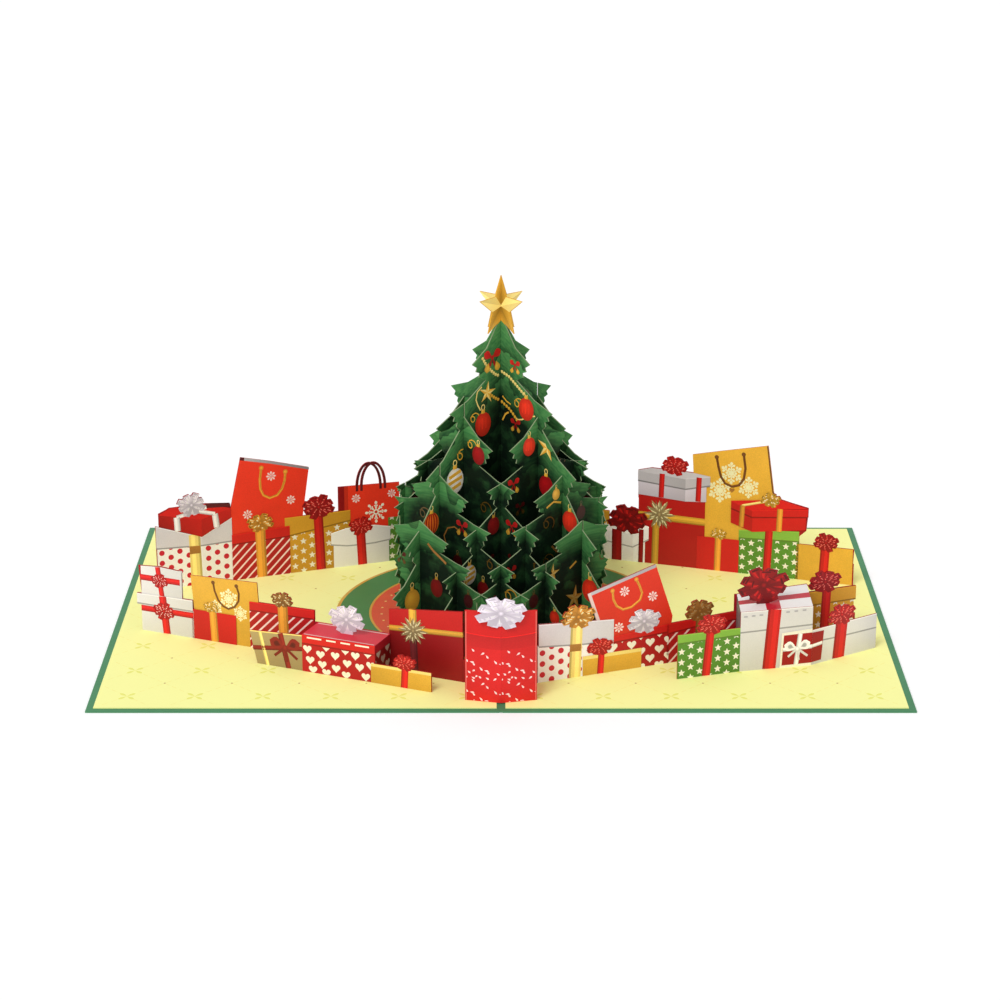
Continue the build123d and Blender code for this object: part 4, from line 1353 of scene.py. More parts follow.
    def _right_rows(self) -> None:
        """Print the three gifts of the right row."""
        points = self.right_row
        height = self.white_box_height
        star, white, round_box = (Wing(a, b).length for a, b in zip(points, points[1:]))
        round_edges = ((0, 9.6), (8, 9.1), (16.9, 8.8), (24, 8.7), (round_box, 8.6))
        dashes = []
        for x in (1.2, 4.2, 7.2, 17.6, 20.8, 24.0):
            rise = x * 0.03
            dash = box_points(x, 21.4 + rise, x + 1.4, 21.9 + rise)
            dashes.append(Patch(tuple(dash), Inks.GREY, 0.72, 1, 4))
        boxes = (
            ("green_star_box_print", (
                Crate(((0, 0, 14.2), (star, 0, 14.9)), Inks.GREEN, ((0, 14.2, 17.4), (star, 14.9, 17.4)),
                      Inks.LIME, STARS, (1.0, 0.9), 0.85, rank=0),
                Band(((12.9, 17.4), (11.4, 0)), 3.3, Inks.RED, 0, tone=0.9),
                Bow(13.4, 20.1, 12.5, 8.4, Inks.RED, rank=0))),
            ("big_white_box_print", (
                Crate(((0, 0, 15.7), (white, 0, 16.6)), Inks.WHITE,
                      ((0, 15.7, height), (white, 16.6, height)),
                      Inks.WHITE, None, (0.88, 0.86), 0.84, rank=0),
                Band(((13.2, height), (11.5, 0)), 5.2, Inks.RED, 0, tone=0.9),
                *dashes,
                Patch(((15.6, 0), (white, 0), (white, 14.8), (16.2, 13.9)), Inks.CREAM, 0.96, 1, 5),
                Patch(((16.4, 0.9), (white, 1.1), (white, 13.2), (17.0, 12.9)), Inks.DARK_RED,
                      (1.0, 1.0, 1.15, 1.15), 1, 6),
                Band(((23.4, 13.1), (22.0, 0.9)), 1.8, Inks.WHITE, 1, 7),
                Band(((16.8, 7.2), (white, 7.6)), 1.6, Inks.WHITE, 1, 7),
                TiedBow(22.4, 7.2, 11.0, Inks.WHITE, 1))),
            ("round_white_box_print", (
                Crate(tuple((x, 0, foot) for x, foot in round_edges), Inks.WHITE,
                      tuple((x, foot, 14.0) for x, foot in round_edges), Inks.WHITE, None,
                      (0.8, 0.96, 0.96, 1.0, 1.0, 0.92, 0.92, 0.8), 0.88, rank=0),
                Patch(((0, 1.1), (4.6, 1.2), (5.6, 12.8), (0, 13.0)), Inks.DARK_RED, 1.0, 0, 5),
                Band(((0, 7.6), (5.0, 8.0)), 1.4, Inks.WHITE, 0, 6),
                Band(((14.2, 14.0), (13.0, 0)), 5.8, Inks.RED, 0, tone=0.9),
                Bow(14.2, 17.2, 14.0, 8.8, Inks.RED, rank=0))),
        )
        for start, end, (name, marks) in zip(points, points[1:], boxes):
            Wing(start, end, marks).print_side(name, self.press)

    def _wall_face_y(self, across_x: float) -> float:
        """Plan depth of the right wing's front face at a distance from the fold."""
        rise = (FRONT_RIGHT.end[1] - FRONT_RIGHT.start[1]) / FRONT_RIGHT.end[0]
        return FRONT_RIGHT.start[1] + across_x * rise - SHEET_THICK / 2 * math.sqrt(1 + rise ** 2)

    def _white_box(self) -> None:
        """Print the lid and the left side of the big white box, the side drawn dark grey as painted shade."""
        left, right = self.right_row[1:3]
        height = self.white_box_height
        lid = PrintSheet(Face(Vector((0, 0, PAGE_TOP + height)), Vector((1, 0, 0)), Vector((0, 1, 0)), UP))
        back_left = (left[0], self._wall_face_y(left[0]))
        back_right = (right[0], self._wall_face_y(right[0]))

        def spot(across: float, back: float) -> Point:
            """Point of the lid by its share across and its share back."""
            front = [a + (b - a) * across for a, b in zip(left, right)]
            rear = [a + (b - a) * across for a, b in zip(back_left, back_right)]
            return (front[0] + (rear[0] - front[0]) * back, front[1] + (rear[1] - front[1]) * back)

        lid.add([spot(0, 0), spot(1, 0), spot(1, 1), spot(0, 1)], Inks.WHITE, 0, [1.04, 1.0, 0.96, 1.0])
        lid.add([spot(0.36, 0), spot(0.56, 0), spot(0.56, 1), spot(0.36, 1)], Inks.CRIMSON, 1)
        lid.add([spot(0, 0.4), spot(1, 0.4), spot(1, 0.62), spot(0, 0.62)], Inks.CRIMSON, 2, 0.95)
        lid.build("big_white_box_lid_print", GIFT_SLOT)
        run = back_left[1] - left[1]
        side = PrintSheet(Face(Vector((*left, PAGE_TOP)), Vector((0, 1, 0)), UP, Vector((-1, 0, 0))))
        # Painted shade: the side of the white box is drawn in dark grey.
        side.panel(0, 0, run, height, Inks.GREY, 0, (0.3, 0.24))
        side.panel(0, height - 7.9, run, height, Inks.GREY, 1, (0.36, 0.28))
        side.build("big_white_box_side_print", GIFT_SLOT)

    def _centre_box(self) -> None:
        """Print the tall box over the fold: patterned body, darker band and bright lid with a curved foot."""
        lid_foot, band_foot, top = 25.2, 20.6, self.centre_height
        halves = ((Wing((-self.centre_half, self.centre_front), (0, self.centre_crease)), "left", 0),
                  (Wing((0, self.centre_crease), (self.centre_half, self.centre_front)), "right", 1))
        for wing, side, half in halves:
            sheet = PrintSheet(wing.face())
            width = wing.length
            tones = (1.0, 1.14) if half == 0 else (1.14, 1.0)
            sheet.panel(0, 0, width, top, Inks.RED, 0, tones)
            TICKS.cover(sheet, self.press, box_points(0.3, 0.2, width - 0.1, 20.2), 1)
            edge, shade = [], []
            for step in range(9):
                share = step / 8
                out = 1 - share if half == 0 else share
                edge.append((width * share, lid_foot + out ** 2))
                shade.append((width * share, band_foot + 0.8 * out ** 2))
            sheet.add(shade + edge[::-1], Inks.RED, 2, [0.96] * 9 + [0.82] * 9)
            sheet.add(edge + [(width, top), (0, top)], Inks.VIVID, 3)
            sheet.ribbon([(x, y + 0.2) for x, y in edge], 0.3, Inks.VIVID, 4, 1.5)
            rim = 0.2 if half == 0 else width - 0.2
            sheet.ribbon([(rim, 0), (rim, top - 0.4)], 0.3, Inks.BLUSH, 5, 0.9)
            sheet.build(f"centre_box_{side}_print", "red_print")

    def _standing_bows(self) -> None:
        """Print the three bows that are cut out by themselves."""
        big = Wing(self.right_row[1], self.right_row[2])
        slope = math.atan2(self.centre_front - self.centre_crease, self.centre_half)
        crease = self.centre_crease - SHEET_THICK / 2 / math.cos(slope)
        half = SHEET_THICK / 2
        hearts_at = FRONT_LEFT.point(self.row_start - 33.6, self.stand_off / 2)
        level = Vector((1, 0, 0))
        spots = (
            ("hearts_bow_print", FRONT_LEFT.face().along, hearts_at, self.hearts[2], half,
             Bow(0, 5.8, 15.2, 11.6, Inks.LILAC, Inks.WHITE, Loops.SLIM, 0.8, 0)),
            ("big_box_bow_print", big.face().along, big.point(10.8, self.stand_off / 2),
             self.white_box_height, half,
             Bow(0, 7.4, 20.7, 14.8, Inks.DARK_RED, Inks.RED, Loops.WIDE, 1.0, 0)),
            ("centre_bow_print", level, (0, crease), self.centre_height, SHEET_THICK,
             Bow(0, 0, 19.2, 12.7, Inks.LILAC, Inks.WHITE, Loops.SLIM, 0.68, 0)),
        )
        for name, along, centre, foot, out, bow in spots:
            normal = level_normal(along)
            origin = Vector((*centre, PAGE_TOP + foot)) + normal * out
            sheet = PrintSheet(Face(origin, along, UP, normal))
            bow.draw(sheet, self.press)
            sheet.build(name, "bow_print")


@dataclass
class CardFinish:
    """Plain coloured card or paper for a node of the frame.

    Attributes:
        name: Name of the material.
        colour: Display colour.
        mottle: Share by which the tint varies.
        grain: Depth of the fibre bump in metres.
        rough: Roughness.
    """

    name: str
    colour: tuple[int, int, int]
    mottle: float = 0.05
    grain: float = 0.00008
    rough: float = 0.62

    def dress(self, *nodes: bpy.types.Object) -> None:
        """Put the finish on nodes.

        Args:
            *nodes: Objects whose material slots take it.
        """
        sheet = NodeSheet(self.name)
        fine = sheet.wander(2600, 4.0, self.mottle)
        cloud = sheet.wander(28, 2.0, self.mottle * 0.7)
        level = sheet.maths("MULTIPLY", sheet.maths("MULTIPLY", fine, cloud), self._fibres(sheet))
        colour = sheet.scaled(linear(self.colour), level)
        paint(sheet.finish(colour, self.rough, sheet.paper_bump(self.grain, 1100)), *nodes)

    def _fibres(self, sheet: NodeSheet) -> bpy.types.NodeSocket:
        """Long thin fibres pressed into the card."""
        sockets = {"Vector": sheet.place_in(), "Scale": (0.25, 1.0, 0.6), "Rotation": (0.1, 0.2, 0.5)}
        pulled = sheet.add("ShaderNodeMapping", sockets).outputs[0]
        return sheet.spread(sheet.noise(1900, 3.0, pulled), 0.35, 0.75, 1.0, 1.0 - self.mottle)


@dataclass
class NeedlePrintAndShading:
    """Fir needles on slices of one family: green along their outside, nearly black inside the tree.

    The near black is partly the print's own dark and partly painted shade, and a paler band along the tops is
    painted sunlight.

    Attributes:
        name: Name of the material.
        normal: Direction that the front faces look in.
        slope: How steeply the tops of the slices fall away from the axis.
        flare: How that fall changes further out.
        fade: Depth below the tops at which the needles start to darken, partly by the print's own dark and
            partly by painted shade, and where they are darkest.
        star_foot: Height of the gold star's foot above the page.
        tier: Height of one row of branches.
    """

    name: str
    normal: tuple[float, float, float]
    slope: float = TREE_SLOPE
    flare: float = TREE_FLARE
    fade: tuple[float, float] = (4.5, 12.5)
    star_foot: float = 118.6
    tier: float = 13.5

    def dress(self, *slices: bpy.types.Object) -> None:
        """Put the needle print, with its painted shade and painted sunlight, on slices.

        Args:
            *slices: The slices.
        """
        sheet = NodeSheet(self.name)
        maths, blend = sheet.maths, sheet.blend
        # deep is the near black inside the tree, partly print and partly painted shade; sunlit is painted
        # sunlight.
        deep, sunlit, card_edge, gold = (
            linear(tint) for tint in ((5, 14, 10), (112, 170, 98), (138, 154, 116), (226, 168, 52)))
        parts = sheet.add("ShaderNodeSeparateXYZ", {0: sheet.place_in()}).outputs
        reach = maths("SQRT", maths("ADD", maths("POWER", parts[0], 2.0), maths("POWER", parts[1], 2.0)))
        out = maths("MULTIPLY", reach, 1 / MM)
        high = maths("SUBTRACT", maths("MULTIPLY", parts[2], 1 / MM), PAGE_TOP)
        curve = maths("MULTIPLY", maths("POWER", out, 2.0), self.flare)
        surface = maths("ADD", maths("SUBTRACT", TREE_HEIGHT, maths("MULTIPLY", out, self.slope)), curve)
        depth = maths("SUBTRACT", surface, high)
        aside = maths("MULTIPLY", maths("ABSOLUTE", parts[0]), 1 / MM)
        rim = maths("MINIMUM", maths("SUBTRACT", TREE_REACH, out),
                    maths("SUBTRACT", TREE_REACH * math.sqrt(0.5), aside))
        inward = maths("MINIMUM", depth, maths("MULTIPLY", rim, 1.5))
        cloud = sheet.spread(sheet.noise(150, 3.0), 0.3, 0.7, -0.25, 0.25)
        # Darker the further below the tops and in from the outer rims: partly the print's own dark, partly
        # painted shade.
        shade = maths("ADD", sheet.spread(inward, *self.fade, 0.0, 1.0), cloud, clamp=True)
        colour = blend(maths("MULTIPLY", shade, 0.96), self._branches(sheet, out, high), deep)
        # Painted sunlight: a paler band just below the tops of the slices.
        colour = blend(sheet.spread(depth, 5.0, -3.0, 0.0, 0.4), colour, sunlit)
        colour = blend(self._cut_edge(sheet), colour, card_edge)
        near_tip = maths("GREATER_THAN", maths("ADD", high, maths("MULTIPLY", out, 0.66)), self.star_foot)
        starry = maths("MULTIPLY", near_tip, maths("GREATER_THAN", high, self.star_foot - 5.0))
        paint(sheet.finish(blend(starry, colour, gold), 0.62, sheet.paper_bump(), specular=0.1), *slices)

    def _branches(self, sheet: NodeSheet, out: bpy.types.NodeSocket,
                  high: bpy.types.NodeSocket) -> bpy.types.NodeSocket:
        """Drooping branches of needles, light along their tops and dark beneath."""
        maths = sheet.maths
        shade, green, tip, hollow = (
            linear(tint) for tint in ((26, 84, 44), (66, 130, 72), (104, 164, 92), (10, 40, 22)))
        fall = maths("ADD", high, maths("MULTIPLY", out, 0.72))
        wave = sheet.spread(sheet.noise(75, 3.0), 0.3, 0.7, -0.5, 0.5)
        rows = maths("FRACT", maths("ADD", maths("DIVIDE", fall, self.tier), wave))
        along = maths("SUBTRACT", maths("MULTIPLY", high, 0.85), out)
        stretched = {0: maths("MULTIPLY", fall, 0.9), 1: maths("MULTIPLY", along, 0.22)}
        needle_in = sheet.add("ShaderNodeCombineXYZ", stretched).outputs[0]
        needles = sheet.spread(sheet.noise(1.15, 4.0, needle_in), 0.32, 0.68, 0.0, 1.0)
        colour = sheet.blend(rows, shade, green)
        colour = sheet.blend(maths("MULTIPLY", needles, 0.5), colour, tip)
        return sheet.blend(sheet.spread(rows, 0.0, 0.3, 0.55, 0.0), colour, hollow)

    def _cut_edge(self, sheet: NodeSheet) -> bpy.types.NodeSocket:
        """One on the pale cut edges and nought on the printed faces."""
        true_normal = sheet.add("ShaderNodeNewGeometry").outputs["True Normal"]
        facing = sheet.add("ShaderNodeVectorMath", {0: true_normal, 1: self.normal}, operation="DOT_PRODUCT")
        return sheet.maths("LESS_THAN", sheet.maths("ABSOLUTE", facing.outputs["Value"]), 0.9)


class Trim(Enum):
    """Ornaments printed on the tree."""

    RED_BALL = "red ball"
    DARK_BALL = "dark ball"
    GOLD_BALL = "gold ball"
    STRIPED_BALL = "striped ball"
    ORANGE_BALL = "orange ball"
    STAR = "star"
    BELLS = "bells"
    CURL = "curl"


@dataclass(frozen=True)
class Ornament:
    """One ornament: the slice that carries it, its place and its size.

    Attributes:
        family: Letter of the slice's family.
        number: Number of the slice.
        along: Distance along the slice from the tree's axis.
        high: Height above the page.
        kind: What it is.
        size: Height of the figure.
        tone: Its brightness: below one as painted shade deep inside the tree, above one as painted light on
            some balls.
    """

    family: str
    number: int
    along: float
    high: float
    kind: Trim
    size: float = 9.0
    tone: float = 1.0

    def turned(self) -> "Ornament":
        """The same ornament half a turn round the tree."""
        return replace(self, number=8 - self.number, along=-self.along)

    def draw(self, sheet: PrintSheet) -> None:
        """Ink the ornament.

        Args:
            sheet: Print of its slice.
        """
        figures = {Trim.STAR: self._star, Trim.BELLS: self._bells, Trim.CURL: self._curl}
        fresh = PrintSheet(sheet.face)
        figures.get(self.kind, self._ball)(fresh, (self.along, self.high))
        # The tone scales the whole figure: painted shade below one, painted light above one.
        for points, ink, level, values in fresh.shapes:
            sheet.add(points, ink, level, [value * self.tone for value in values])

    def _ball(self, sheet: PrintSheet, middle: Point) -> None:
        """Ink a glass ball with its gold cap and loop."""
        half_high, half_wide = self.size / 2, self.size * 0.44
        ink = {Trim.RED_BALL: Inks.SCARLET, Trim.DARK_BALL: Inks.DARK_RED, Trim.GOLD_BALL: Inks.GOLD,
               Trim.STRIPED_BALL: Inks.CREAM, Trim.ORANGE_BALL: Inks.ORANGE}[self.kind]
        light = (middle[0] - half_wide * 0.25, middle[1] + half_high * 0.3)
        sheet.fan(light, oval(middle, half_wide, half_high, 22), ink, 10, 1.3, 0.74)
        stripe = {Trim.STRIPED_BALL: Inks.GOLD, Trim.ORANGE_BALL: Inks.DARK_RED}.get(self.kind)
        if stripe:
            self._stripes(sheet, middle, half_wide, half_high, stripe)
        if self.kind is Trim.RED_BALL:
            for shift, gain in ((-0.5, 1.2), (-0.1, 1.35), (0.35, 1.15)):
                path = [(middle[0] + half_wide * shift, middle[1] + half_high * rise)
                        for rise in (-0.4, 0.1, 0.5)]
                sheet.ribbon(path, half_wide * 0.16, Inks.SCARLET, 12, gain)
        top = middle[1] + half_high
        sheet.panel(middle[0] - self.size * 0.1, top - self.size * 0.05, middle[0] + self.size * 0.1,
                    top + self.size * 0.1, Inks.GOLD, 13, (1.2, 0.75))
        loop = oval((middle[0], top + self.size * 0.2), self.size * 0.09, self.size * 0.11, 12)
        sheet.ribbon(loop + loop[:1], self.size * 0.045, Inks.PALE_GOLD, 13, 0.9)

    def _stripes(self, sheet: PrintSheet, middle: Point, half_wide: float, half_high: float,
                 ink: Inks) -> None:
        """Ink the slanting or upright bands of a striped ball."""
        slant = 0.0 if self.kind is Trim.ORANGE_BALL else 0.45
        counts = (-0.72, -0.36, 0.0, 0.36, 0.72) if self.kind is Trim.ORANGE_BALL else (-0.55, 0.0, 0.55)
        for share in counts:
            path = []
            for step in range(9):
                rise = -0.9 + 1.8 * step / 8
                bulge = math.sqrt(max(0.0, 1 - rise * rise))
                if slant:
                    path.append((middle[0] + half_wide * 0.93 * rise * math.sqrt(max(0.0, 1 - share * share)),
                                 middle[1] + half_high * (share + slant * rise * 0.5) * 0.9))
                else:
                    path.append((middle[0] + half_wide * share * bulge, middle[1] + half_high * rise))
            sheet.ribbon(path, self.size * (0.14 if slant else 0.06), ink, 11, 1.0)

    def _star(self, sheet: PrintSheet, middle: Point) -> None:
        """Ink a five-pointed gold star in facets."""
        rim = star_points(middle, self.size * 0.62, 0.33, 82)
        for index, (first, second) in enumerate(zip(rim, rim[1:] + rim[:1])):
            ink = Inks.PALE_GOLD if index % 2 else Inks.GOLD
            sheet.add([middle, first, second], ink, 11, [1.1, 1.0, 0.9])

    def _bells(self, sheet: PrintSheet, middle: Point) -> None:
        """Ink a red ribbon bow over two gold bells."""
        size = self.size
        for side in (-1, 1):
            turns = (90 - side * 62, 270 + side * 24, 270 + side * 16)
            loop, tail, hang = (math.radians(turn) for turn in turns)
            sheet.fan(middle, petal_points(middle, loop, size * 0.5, size * 0.17), Inks.RED, 12, 0.6, 1.0)
            sheet.add(petal_points(middle, tail, size * 0.45, size * 0.06), Inks.DARK_RED, 11, 1.1)
            bell = (middle[0] + side * size * 0.2, middle[1] - size * 0.36)
            rim = petal_points((bell[0], bell[1] + size * 0.2), hang, size * 0.42, size * 0.15)
            sheet.fan(bell, rim, Inks.GOLD, 13, 1.2, 0.75)
        sheet.add(oval(middle, size * 0.08, size * 0.09), Inks.RED, 14, 0.7)

    def _curl(self, sheet: PrintSheet, middle: Point) -> None:
        """Ink a curl of gold ribbon."""
        path = []
        for step in range(30):
            share = step / 29
            turn = math.radians(-60 + 560 * share)
            reach = self.size * (0.5 - 0.34 * share)
            path.append((middle[0] + reach * math.cos(turn) + self.size * 0.5 * (1 - share),
                         middle[1] + reach * math.sin(turn)))
        sheet.ribbon(path, self.size * 0.09, Inks.GOLD, 9)


@dataclass(frozen=True)
class Swag:
    """One length of beaded garland or of thin ribbon on a slice.

    Attributes:
        family: Letter of the slice's family.
        number: Number of the slice.
        path: Points that it runs through, as distance along and height.
        width: Width of the ribbon, or nothing for a beaded garland.
        ink: Colour.
        tone: Brightness, below one as painted shade deep inside the tree.
    """

    family: str
    number: int
    path: tuple[Point, ...]
    width: float = 0.0
    ink: Inks = Inks.PALE_GOLD
    tone: float = 1.0

    def turned(self) -> "Swag":
        """The same length half a turn round the tree."""
        return replace(self, number=8 - self.number, path=tuple((-x, y) for x, y in self.path))


@dataclass
class FirTree:
    """The slotted tree: its needle print, garlands, ornaments and gold star.

    Attributes:
        slice_offsets: Distance of each slice of a family from the axis.
        star_height: Height of the star's middle.
        star_radius: Its radius.
        star_waist: Its inner radius as a share of that.
        bead: Diameter of a garland's bead.
        deep_drop: Height between the dim trims deep inside the tree.
        deep_lowest: Height below which there are none.
        deep_size: Their size.
        deep_tone: Their brightness, kept low as painted shade.
        deep_room: Room kept round them, added to the size of an ornament.
        nodes: Nodes of the frame by name.
        swags: Garlands and ribbons.
        ornaments: Ornaments near the slices' outlines.
    """

    slice_offsets: tuple[float, ...] = (-43.5, -33.0, -20.0, 0.0, 20.0, 33.0, 43.5)
    star_height: float = 124.0
    star_radius: float = 12.0
    star_waist: float = 0.42
    bead: float = 1.35
    deep_drop: float = 15.0
    deep_lowest: float = 8.0
    deep_size: float = 5.6
    deep_tone: float = 0.12
    deep_room: float = 9.0
    nodes: dict[str, bpy.types.Object] = field(default_factory=dict)
    # A tone after the ink, below one, dims a length as painted shade deep inside the tree.
    swags: tuple[Swag, ...] = (
        Swag("a", 4, ((-10.1, 105.2), (-8.2, 102.2), (-5.9, 99.8), (-3.4, 97.7), (-0.8, 96.5))),
        Swag("b", 4, ((0.8, 98.2), (4.6, 97.0), (8.4, 94.5), (12.4, 91.8))),
        Swag("a", 4, ((-7.2, 91.3), (-5.2, 89.5), (-3.4, 88.2), (-0.7, 86.8)), ink=Inks.GOLD),
        Swag("b", 4, ((0.8, 86.2), (4.5, 84.4), (7.3, 82.2), (9.8, 79.6)), ink=Inks.GOLD),
        Swag("a", 4, ((-10.6, 94.2), (-13.0, 92.6), (-13.7, 89.6), (-12.8, 87.4), (-11.3, 84.9)), 0.55),
        Swag("b", 4, ((7.3, 81.8), (9.4, 80.9), (11.6, 81.4), (15.2, 83.4), (18.6, 84.2)), 0.55),
        Swag("b", 4, ((1.1, 88.6), (3.4, 86.9), (5.6, 86.2)), 0.55, Inks.GOLD),
        Swag("b", 4, ((1.1, 78.9), (2.6, 81.6), (4.4, 82.8)), 0.7, Inks.GOLD),
        Swag("b", 1, ((4.6, 40.4), (7.6, 38.2), (11.0, 36.6), (14.6, 34.8)), 1.0, Inks.BRONZE, 0.8),
        Swag("a", 2, ((-6.0, 37.0), (-3.2, 34.2), (0.4, 33.0), (5.0, 33.6)), 0.9, Inks.BRONZE, 0.7),
        Swag("a", 1, ((-7.0, 31.0), (-3.4, 33.0), (0.0, 35.0)), 0.8, Inks.GOLD, 0.7),
        Swag("a", 2, ((-12.0, 50.4), (-8.9, 53.0), (-5.0, 54.6), (-1.0, 53.4)), 0.8, Inks.GOLD, 0.9),
        Swag("b", 2, ((4.0, 36.6), (2.6, 40.4), (4.6, 44.0), (8.4, 45.4), (11.8, 44.0)), 0.6,
             Inks.BRONZE, 0.6),
    )
    # A number after the size is the brightness: below one painted shade deep inside the tree, above one
    # painted light.
    ornaments: tuple[Ornament, ...] = (
        Ornament("a", 4, -5.0, 104.7, Trim.BELLS, 10.0),
        Ornament("b", 4, 7.8, 102.2, Trim.BELLS, 6.0),
        Ornament("a", 4, -7.7, 91.3, Trim.STAR, 7.4),
        Ornament("b", 4, 13.9, 86.0, Trim.RED_BALL, 9.0),
        Ornament("a", 4, -10.0, 79.2, Trim.RED_BALL, 9.6),
        Ornament("a", 4, -16.2, 82.6, Trim.CURL, 4.6),
        Ornament("b", 4, 8.1, 87.4, Trim.CURL, 4.8),
        Ornament("b", 4, 8.2, 79.0, Trim.BELLS, 6.0, 0.7),
        Ornament("a", 3, -5.2, 73.6, Trim.RED_BALL, 7.4, 1.1),
        Ornament("b", 4, 25.0, 73.0, Trim.STAR, 8.6),
        Ornament("a", 4, -23.2, 69.4, Trim.CURL, 5.4),
        Ornament("b", 3, 3.0, 74.2, Trim.CURL, 4.6),
        Ornament("b", 3, 8.2, 70.8, Trim.DARK_BALL, 7.4),
        Ornament("a", 3, -13.6, 60.6, Trim.BELLS, 7.0),
        Ornament("a", 4, -25.1, 59.9, Trim.STRIPED_BALL, 10.2, 1.2),
        Ornament("b", 4, 24.6, 57.7, Trim.DARK_BALL, 8.4, 1.2),
        Ornament("a", 2, -3.8, 57.3, Trim.GOLD_BALL, 4.6),
        Ornament("b", 4, 37.2, 46.5, Trim.RED_BALL, 8.5),
        Ornament("a", 4, -37.6, 45.7, Trim.ORANGE_BALL, 8.8, 1.2),
        Ornament("b", 2, 12.5, 46.6, Trim.BELLS, 7.0, 0.6),
        Ornament("a", 3, -24.3, 46.6, Trim.DARK_BALL, 7.0, 0.6),
        Ornament("b", 3, 26.0, 46.8, Trim.BELLS, 7.0, 0.7),
        Ornament("a", 3, -37.1, 30.1, Trim.STRIPED_BALL, 8.0, 0.7),
        Ornament("a", 2, -28.0, 32.6, Trim.BELLS, 6.4, 0.5),
        Ornament("a", 1, -16.5, 31.4, Trim.STAR, 6.4, 0.6),
        Ornament("b", 4, 48.1, 21.4, Trim.RED_BALL, 9.2),
        Ornament("a", 4, -48.1, 17.4, Trim.GOLD_BALL, 8.8, 1.2),
        Ornament("a", 3, -39.2, 21.9, Trim.STRIPED_BALL, 8.4),
        Ornament("b", 2, 36.2, 25.4, Trim.CURL, 6.0, 0.5),
        Ornament("a", 1, -4.3, 18.4, Trim.STAR, 8.6, 0.45),
        Ornament("b", 2, 23.8, 23.9, Trim.DARK_BALL, 7.0, 0.5),
        Ornament("b", 3, 48.8, 16.0, Trim.RED_BALL, 5.6, 0.8),
        Ornament("b", 1, 9.3, 23.7, Trim.DARK_BALL, 7.4, 0.5),
    )

    def build(self, beads: BeadPress) -> None:
        """Print every slice on both faces.

        Args:
            beads: Maker of the garlands.
        """
        half = math.sqrt(0.5)
        for family, normal in (("a", (half, -half, 0.0)), ("b", (-half, -half, 0.0))):
            slices = [self.nodes[f"tree_slice_{family}{number}"] for number in range(1, 8)]
            middle = slices.pop(3)
            NeedlePrintAndShading(f"fir_needle_print_{family}", normal).dress(*slices)
            NeedlePrintAndShading(f"fir_middle_print_{family}", normal, 0.64, -0.018, (13.0, 31.0)).dress(middle)
            for number in range(1, 8):
                for rear in (False, True):
                    self._print_slice(family, number, rear, beads)

    def _face(self, family: str, number: int, rear: bool) -> Face:
        """One printed side of a slice."""
        half = math.sqrt(0.5)
        aside = self.slice_offsets[number - 1]
        along = Vector((half, half, 0)) if family == "a" else Vector((half, -half, 0))
        step = Vector((-half, half, 0)) if family == "a" else Vector((half, half, 0))
        normal = -step if not rear else step
        origin = step * aside + Vector((0, 0, PAGE_TOP)) + normal * SHEET_THICK / 2
        return Face(origin, along, UP, normal)

    def _print_slice(self, family: str, number: int, rear: bool, beads: BeadPress) -> None:
        """Print garlands, ornaments and, on the middle slices, the star."""
        name = f"tree_slice_{family}{number}"
        sheet = PrintSheet(self._face(family, number, rear))
        carrier = self.nodes[name]
        for mark in (*self.swags, *self.ornaments, *self._deep_trims(family, number)):
            own = mark.turned() if rear else mark
            if (own.family, own.number) != (family, number):
                continue
            if isinstance(own, Ornament):
                own.draw(sheet)
            elif own.width:
                # A tone below one is painted shade deep inside the tree.
                sheet.ribbon(list(own.path), own.width, own.ink, 3, own.tone)
            else:
                for outline in beads.string(own.path, self.bead, self.bead * 0.95, own.ink):
                    sheet.add(outline, own.ink, 5, [1.1] * 4 + [0.72] * (len(outline) - 4))
        sheet.shapes = [shape for shape in sheet.shapes if self._held(sheet.face, carrier, shape[0])]
        if self.slice_offsets[number - 1] == 0:
            self._star(sheet)
        if sheet.shapes:
            sheet.build(f"{name}_trim_{'rear' if rear else 'front'}", "tree_print")

    def _deep_trims(self, family: str, number: int) -> list[Ornament]:
        """Dim curls and dark balls in the cells between the crossings, deep inside the tree: the dimness is
        painted shade.
        """
        aside = self.slice_offsets[number - 1]
        bounds = (-TREE_REACH, *self.slice_offsets, TREE_REACH)
        taken = [item for item in self.ornaments if (item.family, item.number) == (family, number)]
        figures = (Trim.CURL, Trim.DARK_BALL, Trim.BELLS)
        trims = []
        for cell, (near, far) in enumerate(zip(bounds, bounds[1:])):
            along = (near + far) / 2
            out = math.hypot(along, aside)
            high = TREE_HEIGHT - TREE_SLOPE * out + TREE_FLARE * out * out - self.deep_drop
            while high > self.deep_lowest:
                gaps = (math.dist((along, high), (item.along, item.high)) - (item.size + self.deep_room) / 2
                        for item in taken)
                if all(gap > 0 for gap in gaps):
                    kind = figures[(number + cell + int(high)) % 3]
                    # deep_tone dims them as painted shade.
                    trims.append(Ornament(family, number, along, high, kind, self.deep_size, self.deep_tone))
                high -= self.deep_drop
        return trims

    @staticmethod
    def _held(face: Face, carrier: bpy.types.Object, points: list[Point]) -> bool:
        """Tell whether every corner of a shape lies on the slice's card."""
        for x, y in points:
            start = face.at(x, y, 1.0)
            hit = carrier.ray_cast(start, -face.normal, distance=1.2 * MM)[0]
            if not hit:
                return False
        return True

    def _star(self, sheet: PrintSheet) -> None:
        """Ink the star on the tip in light and dark facets."""
        middle = (0.0, self.star_height)
        rim = star_points(middle, self.star_radius * 0.985, self.star_waist)
        for index, (first, second) in enumerate(zip(rim, rim[1:] + rim[:1])):
            side_arm = index in (1, 2, 7, 8)
            gain = 1.0 if index % 2 == 0 else 0.8
            ink, tones = (Inks.PALE_GOLD, (1.15, 1.25, 1.1)) if side_arm else (Inks.GOLD, (0.42, 1.05, 0.95))
            sheet.add([middle, first, second], ink, 3, [tone * gain for tone in tones])


